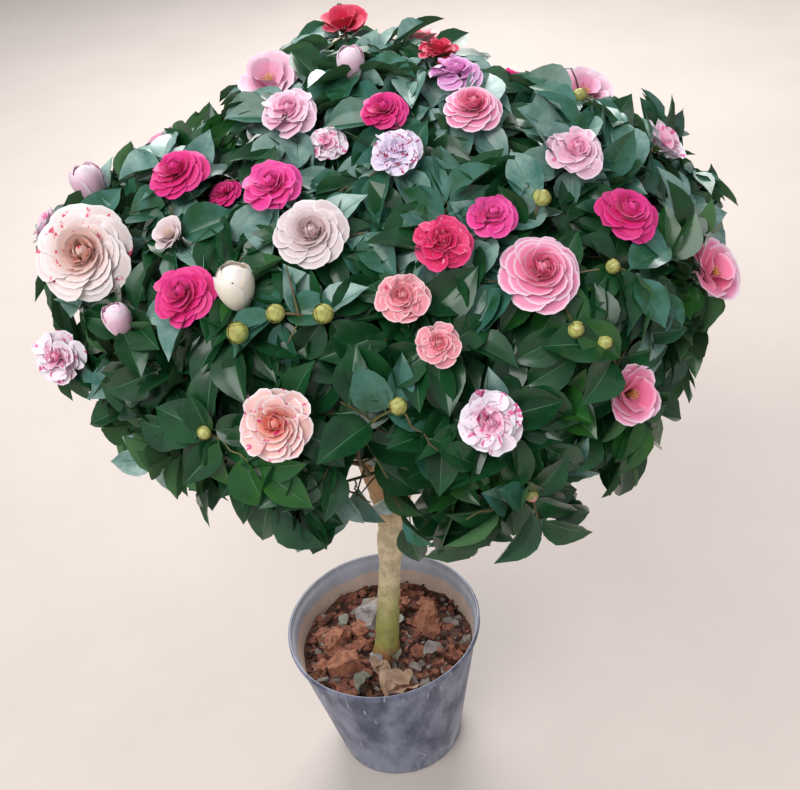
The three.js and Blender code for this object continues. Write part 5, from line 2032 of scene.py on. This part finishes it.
def stamen_shape():
    """One stamen, 1 long: a thread with a plump head."""
    profile = ((0.0, 0.012), (0.86, 0.01), (0.9, 0.035), (0.96, 0.04), (1.0, 0.01))
    rows = [
        [(row, half * math.cos(angle), half * math.sin(angle)) for angle in ring_angles(4)]
        for row, half in profile
    ]
    return grid_shape(np.array(rows), closed=True).mesh("stamen")


# Buds

BUD = Record(length=2.25, scales=7, pink=0.4, core=0.95)

# Turn, top and looseness of a bud's core and its scales
BUD_SHAPES = ((math.pi, 1.0, 0.0), (1.0, 0.86, 0.04), (1.1, 0.58, 0.06))


def bud_rows(plant):
    """A closed core and overlapping scales for every closed bud."""
    draw = seeded(SEED + STREAMS.buds)
    scales = petal_rows()
    for bud in (bud for growth in plant.growths for bud in growth.buds):
        side, other = across(bud.facing)
        spin = next(draw) * TURN
        foot = bud.centre - bud.facing * bud.radius * BUD.length / 2
        pink = int(next(draw) < BUD.pink)
        scales.add(foot, bud.facing, side, bud.radius * BUD.core, 1.0, 0, pink, 0.0, next(draw))
        for i in range(BUD.scales):
            share = i / (BUD.scales - 1)
            radial = around(side, other, spin + i * GOLDEN_TURN)
            size = bud.radius * lerp(1.05, 0.97, share)
            scales.add(foot, bud.facing, radial, size, 1.0, 1 if i > 3 else 2, 0, share, next(draw))
    return scales.arrays(shaped)


def wrap_shape(length, turn, top, loose, profile=EGG):
    """Patch of an egg of radius 1 along X: a wrapped petal, a bud's scale or, at a full turn, its core."""
    rows = np.linspace(0, 1, 10)[:, None]
    closed = turn >= math.pi
    columns = np.linspace(-1, 1, 15 if closed else 9)
    radius = np.interp(rows * top, *zip(*profile)) + loose * rows**2
    angles = columns * turn * np.sqrt(np.maximum(1 - (0 if closed else 1) * rows**5, 0.02))
    ahead = np.broadcast_to(rows * top * length, angles.shape)
    return patch("wrap", np.stack((ahead, radius * np.sin(angles), radius * np.cos(angles)), axis=-1))


def green_material(name, first, second, rim):
    """Sepals and bud scales, paler or browner towards their rim."""
    finish = Finish(name)
    tint = finish.mottle(finish.place, 90.0, 0.2, colour(first), colour(second))
    split = finish.split(finish.value("ShaderNodeTexCoord", output="UV"))
    edge = finish.math("MAXIMUM", split["Y"], finish.times(finish.from_middle(split["X"]), 2))
    rimmed = finish.mix(finish.times(finish.ramp(edge, 0.75, 1.0), 0.8), tint, colour(rim))
    return finish.shaded(rimmed, 0.45, Coat_Weight=0.15)


# Settings that a user would change


def share_property(name, description, default):
    """Property from 0 to 1."""
    return FloatProperty(name=name, description=description, min=0, max=1, default=default)


def tint_property(name, description, code):
    """Colour property with its default from a hex code."""
    return FloatVectorProperty(
        name=name, description=description, subtype="COLOR", size=3, min=0, max=1, default=colour(code)
    )


class CAMELLIA_PG_stage(bpy.types.PropertyGroup):
    floor: tint_property("Floor", "Colour of the floor", "D4C8BF")
    floor_size: FloatProperty(name="Floor size", description="Side of the floor", unit="LENGTH", default=40.0)
    sky: tint_property("Sky", "Colour of the light from all sides", "F3F6FF")
    sky_strength: FloatProperty(name="Sky strength", description="Brightness of the sky", default=0.48, min=0)
    front_place: FloatVectorProperty(
        name="Front light place", description="Place of the front light", subtype="XYZ", size=3,
        default=(-1.4, -2.4, 4.2),
    )
    front_size: FloatProperty(name="Front light size", description="Its width", unit="LENGTH", default=3.2)
    front_energy: FloatProperty(name="Front light power", description="Its power", unit="POWER", default=130)
    back_place: FloatVectorProperty(
        name="Back light place", description="Place of the back light", subtype="XYZ", size=3,
        default=(0.2, 2.9, 2.9),
    )
    back_size: FloatProperty(name="Back light size", description="Its width", unit="LENGTH", default=2.8)
    back_energy: FloatProperty(name="Back light power", description="Its power", unit="POWER", default=145)


class CAMELLIA_PG_pot(bpy.types.PropertyGroup):
    plastic: tint_property("Plastic", "Main colour of the pot", "8B90A4")
    plastic_dark: tint_property("Dark plastic", "Colour of the pot's darker patches", "464C64")
    scuff: tint_property("Scuffs", "Colour of scratches", "BCC2D0")
    # Dust and dried mix also colour the inner wall, painted paler there as light against the pot's shade
    dust_and_painted_light: tint_property("Dust", "Pale dust on the pot's foot and upper wall", "C2C6CE")
    dried_mix_and_painted_light: tint_property("Dried mix", "Colour of dried mix low on the wall inside", "ECD0B8")
    wear: share_property("Wear", "Strength of the scratches", 0.8)
    sides: IntProperty(name="Sides", description="Points round the rim", default=160, min=16)


class CAMELLIA_PG_mix(bpy.types.PropertyGroup):
    soil: tint_property("Soil", "Main colour of the mix", "6A4334")
    soil_dark: tint_property("Dark soil", "Colour of the moist hollows", "2A1914")
    chips: IntProperty(name="Chips", description="Number of bark chips", default=720, min=0)
    seed: IntProperty(name="Seed", description="Seed of the chips' places", default=77)


class CAMELLIA_PG_bark(bpy.types.PropertyGroup):
    voxel: FloatProperty(
        name="Voxel", description="Grain of the joined limbs", unit="LENGTH", default=0.0018, min=0.001
    )
    foot: tint_property("Foot", "Colour of the bark at the mix", "A05C34")
    low_bark: tint_property("Low bark", "Greenish bark above the foot", "A8A458")
    bark: tint_property("Bark", "Beige bark of the trunk", "E6D0AA")
    bough: tint_property("Boughs", "Bark of the boughs", "B88C62")
    lichen: tint_property("Patches", "Colour of the darker patches", "857F58")
    crack: tint_property("Cracks", "Colour of the fine cracks", "5A4830")


class CAMELLIA_PG_foliage(bpy.types.PropertyGroup):
    twig: tint_property("Twigs", "Brown bark of the twigs", "5E4632")
    young_twig: tint_property("Young twigs", "Greener bark of the youngest twigs", "6E6A3C")
    rib: tint_property("Midribs", "Colour of midribs and stalks", "4A7A50")
    deep: tint_property("Deep leaf", "Top of the commonest leaves", "0D381C")
    mid: tint_property("Mid leaf", "Top of lighter leaves", "1C5229")
    # Bluish and pale leaves are painted sheen of the sky and lights on the leaves' tops
    bluish: tint_property("Bluish leaf", "Top of bluish leaves", "467A6E")
    pale: tint_property("Pale leaf", "Top of leaves with the sky's sheen", "9EBAB0")
    fresh: tint_property("Fresh leaf", "Top of young leaves", "2E641E")
    under: tint_property("Underside", "Underside of the leaves", "5A8456")
    roughness: share_property("Roughness", "Roughness of the leaves", 0.42)
    gloss: share_property("Gloss", "Strength of the leaves' wax coat", 0.7)


class CAMELLIA_PG_blooms(bpy.types.PropertyGroup):
    edge: share_property("Edge", "Width of the paler rim of a petal", 0.3)


class CAMELLIA_OT_stage(bpy.types.Operator):
    """Makes the floor, the light and the camera"""

    bl_idname = "camellia.make_stage"
    bl_label = "Stage and camera"

    def execute(self, context):
        make_camera()
        make_floor(context.scene.camellia_stage)
        make_lights(context.scene.camellia_stage)
        return {"FINISHED"}


class CAMELLIA_OT_pot(bpy.types.Operator):
    """Makes the weathered plastic pot"""

    bl_idname = "camellia.make_pot"
    bl_label = "Pot"

    def execute(self, context):
        look = context.scene.camellia_pot
        mesh = make_pot_shape(look.sides).mesh("nursery_pot", pot_material(look))
        finished(linked("nursery_pot", mesh), "pot", "pot")
        return {"FINISHED"}


class CAMELLIA_OT_mix(bpy.types.Operator):
    """Makes the potting mix and strews chips, dry leaves and stones over it"""

    bl_idname = "camellia.make_mix"
    bl_label = "Potting mix"

    def execute(self, context):
        look = context.scene.camellia_mix
        draw = seeded(look.seed)
        soil = earthy("moist_mix", look.soil, look.soil_dark, 60.0, 0.8)
        mesh = make_mix_shape().mesh("mix_surface", soil)
        finished(linked("mix_surface", mesh), "potting_mix", "potting_mix")
        shapes = [chip_mesh(draw, *chip) for chip in CHIP_SHAPES] + [leaf_shape(*DRY_LEAF)]
        finishes = [
            earthy(name, colour(first), colour(second), scale, strength)
            for name, first, second, scale, strength in EARTHS
        ]
        rows = Rows()
        strew(rows, draw, CHIPS, look.chips)
        strew(rows, draw, CLODS, CLODS.count)
        strew(rows, draw, DRY_LEAVES, DRY_LEAVES.count)
        add_litter(rows)
        finished(scattered("bark_chips", rows.arrays(), shapes, finishes), "potting_mix")
        return {"FINISHED"}


class CAMELLIA_OT_limbs(bpy.types.Operator):
    """Makes the trunk and boughs as one body with the relief of their bark"""

    bl_idname = "camellia.make_limbs"
    bl_label = "Trunk and boughs"

    def execute(self, context):
        look = context.scene.camellia_bark
        shape = Shape()
        for stroke in limb_strokes(grow_plant()):
            shape.add(*tube(*stroke))
        piece = linked("bark", shape.mesh("bark"))
        remesh = piece.modifiers.new("Remesh", "REMESH")
        remesh.mode = "VOXEL"
        remesh.voxel_size = look.voxel
        remesh.use_smooth_shade = True
        piece = plain_mesh(piece)
        bark_relief(piece.data)
        piece.data.materials.clear()
        piece.data.materials.append(bark_material(look))
        finished(piece, "bark", "trunk", *(f"bough_{name}" for name, *_ in BOUGHS))
        return {"FINISHED"}


class CAMELLIA_OT_foliage(bpy.types.Operator):
    """Makes the twigs, and the leaves of each mass"""

    bl_idname = "camellia.make_foliage"
    bl_label = "Twigs and leaves"

    def execute(self, context):
        look = context.scene.camellia_foliage
        plant = grow_plant()
        shapes = [leaf_shape(*one) for one in LEAF_SHAPES]
        finishes = [
            leaf_material(f"{top}_leaf", getattr(look, top), getattr(look, light), look)
            for top, light in LEAF_TONES
        ]
        rib = rib_material(look)
        draw = seeded(SEED + STREAMS.twigs)
        strokes = []
        for growth in plant.growths:
            points, thin = mass_leaves(plant, growth)
            strokes += [(shaped(line), radii) for line, radii in thin]
            for twig in growth.twigs:
                line = rounded(twig.points, draw)
                strokes.append((shaped(line), twig_radii(twig, len(line))))
            name = growth.mass.name
            finished(scattered(f"leaves_{name}", points, shapes, finishes, rib), "foliage", f"foliage_{name}")
        finished(stroked("twigs", strokes, twig_material(look), PIPE.sides), "bark")
        for shape in shapes:
            bpy.data.meshes.remove(shape)
        return {"FINISHED"}


class CAMELLIA_OT_blooms(bpy.types.Operator):
    """Makes the blooms of each mass, their sepals and the stamens of the open ones"""

    bl_idname = "camellia.make_blooms"
    bl_label = "Blooms"

    def execute(self, context):
        look = context.scene.camellia_blooms
        plant = grow_plant()
        families = list(FAMILIES)
        finishes = [petal_material(name, look) for name in families]
        shapes = [petal_shape(*one) for one in (*ROSE_SHAPES, *CUP_SHAPES)]
        shapes += [wrap_shape(WRAPS.length, *one) for one in WRAP_SHAPES]
        shapes += [petal_shape(*one) for one in RUFFLED_SHAPES]
        for growth in plant.growths:
            draw = seeded(SEED + STREAMS.petals + growth.mass.index)
            petals = petal_rows()
            for index in growth.blooms:
                bloom = plant.blooms[index]
                MAKERS[bloom.form](petals, bloom, families.index(bloom.colour), draw)
            name = f"blooms_{growth.mass.name}"
            finished(scattered(name, petals.arrays(shaped), shapes, finishes), "petals")
        sepal = petal_shape(0.85, 0.3, 0.12, 0.05, 0.0)
        green = green_material("sepals", "6E8A44", "55743A", "8A7A48")
        finished(scattered("sepals", sepal_rows(plant), [sepal], [green]), "foliage")
        stamen = stamen_shape()
        yellow = green_material("stamens", "F2D060", "E0A838", "F6DC80")
        finished(scattered("stamens", stamen_rows(plant), [stamen], [yellow]), "petals")
        return {"FINISHED"}


class CAMELLIA_OT_buds(bpy.types.Operator):
    """Makes the closed buds of overlapping scales"""

    bl_idname = "camellia.make_buds"
    bl_label = "Buds"

    def execute(self, context):
        plant = grow_plant()
        shapes = [wrap_shape(BUD.length, *one, POINTED_EGG) for one in BUD_SHAPES]
        finishes = [
            green_material("bud_scales", "D8D684", "BAC264", "A89C58"),
            green_material("bud_tips", "E8BCA8", "DCC48C", "E58C98"),
        ]
        finished(scattered("buds", bud_rows(plant), shapes, finishes), "foliage")
        return {"FINISHED"}


class CAMELLIA_PT_panel(bpy.types.Panel):
    """Lists the pieces of the camellia"""

    bl_idname = "CAMELLIA_PT_panel"
    bl_label = "Potted camellia"
    bl_space_type = "VIEW_3D"
    bl_region_type = "UI"
    bl_category = "Camellia"

    def draw(self, context):
        for name, operators in PIECES.items():
            box = self.layout.box()
            look = getattr(context.scene, f"camellia_{name}")
            for setting in look.bl_rna.properties.keys()[2:]:
                box.prop(look, setting)
            for operator in operators:
                box.operator(operator.bl_idname)


SETTINGS = {
    "stage": CAMELLIA_PG_stage, "pot": CAMELLIA_PG_pot, "mix": CAMELLIA_PG_mix, "bark": CAMELLIA_PG_bark,
    "foliage": CAMELLIA_PG_foliage, "blooms": CAMELLIA_PG_blooms,
}
PIECES = {
    "stage": [CAMELLIA_OT_stage], "pot": [CAMELLIA_OT_pot], "mix": [CAMELLIA_OT_mix],
    "bark": [CAMELLIA_OT_limbs], "foliage": [CAMELLIA_OT_foliage],
    "blooms": [CAMELLIA_OT_blooms, CAMELLIA_OT_buds],
}


def classes():
    """Every class of the add-on."""
    return [*SETTINGS.values(), *(one for group in PIECES.values() for one in group), CAMELLIA_PT_panel]


def register():
    for one in classes():
        bpy.utils.register_class(one)
    for name, group in SETTINGS.items():
        setattr(bpy.types.Scene, f"camellia_{name}", PointerProperty(type=group))


def unregister():
    for name in SETTINGS:
        delattr(bpy.types.Scene, f"camellia_{name}")
    for one in reversed(classes()):
        bpy.utils.unregister_class(one)


def main():
    register()
    bpy.ops.camellia.make_stage()
    bpy.ops.camellia.make_pot()
    bpy.ops.camellia.make_mix()
    bpy.ops.camellia.make_limbs()
    bpy.ops.camellia.make_foliage()
    bpy.ops.camellia.make_blooms()
    bpy.ops.camellia.make_buds()


if __name__ == "__main__":
    main()
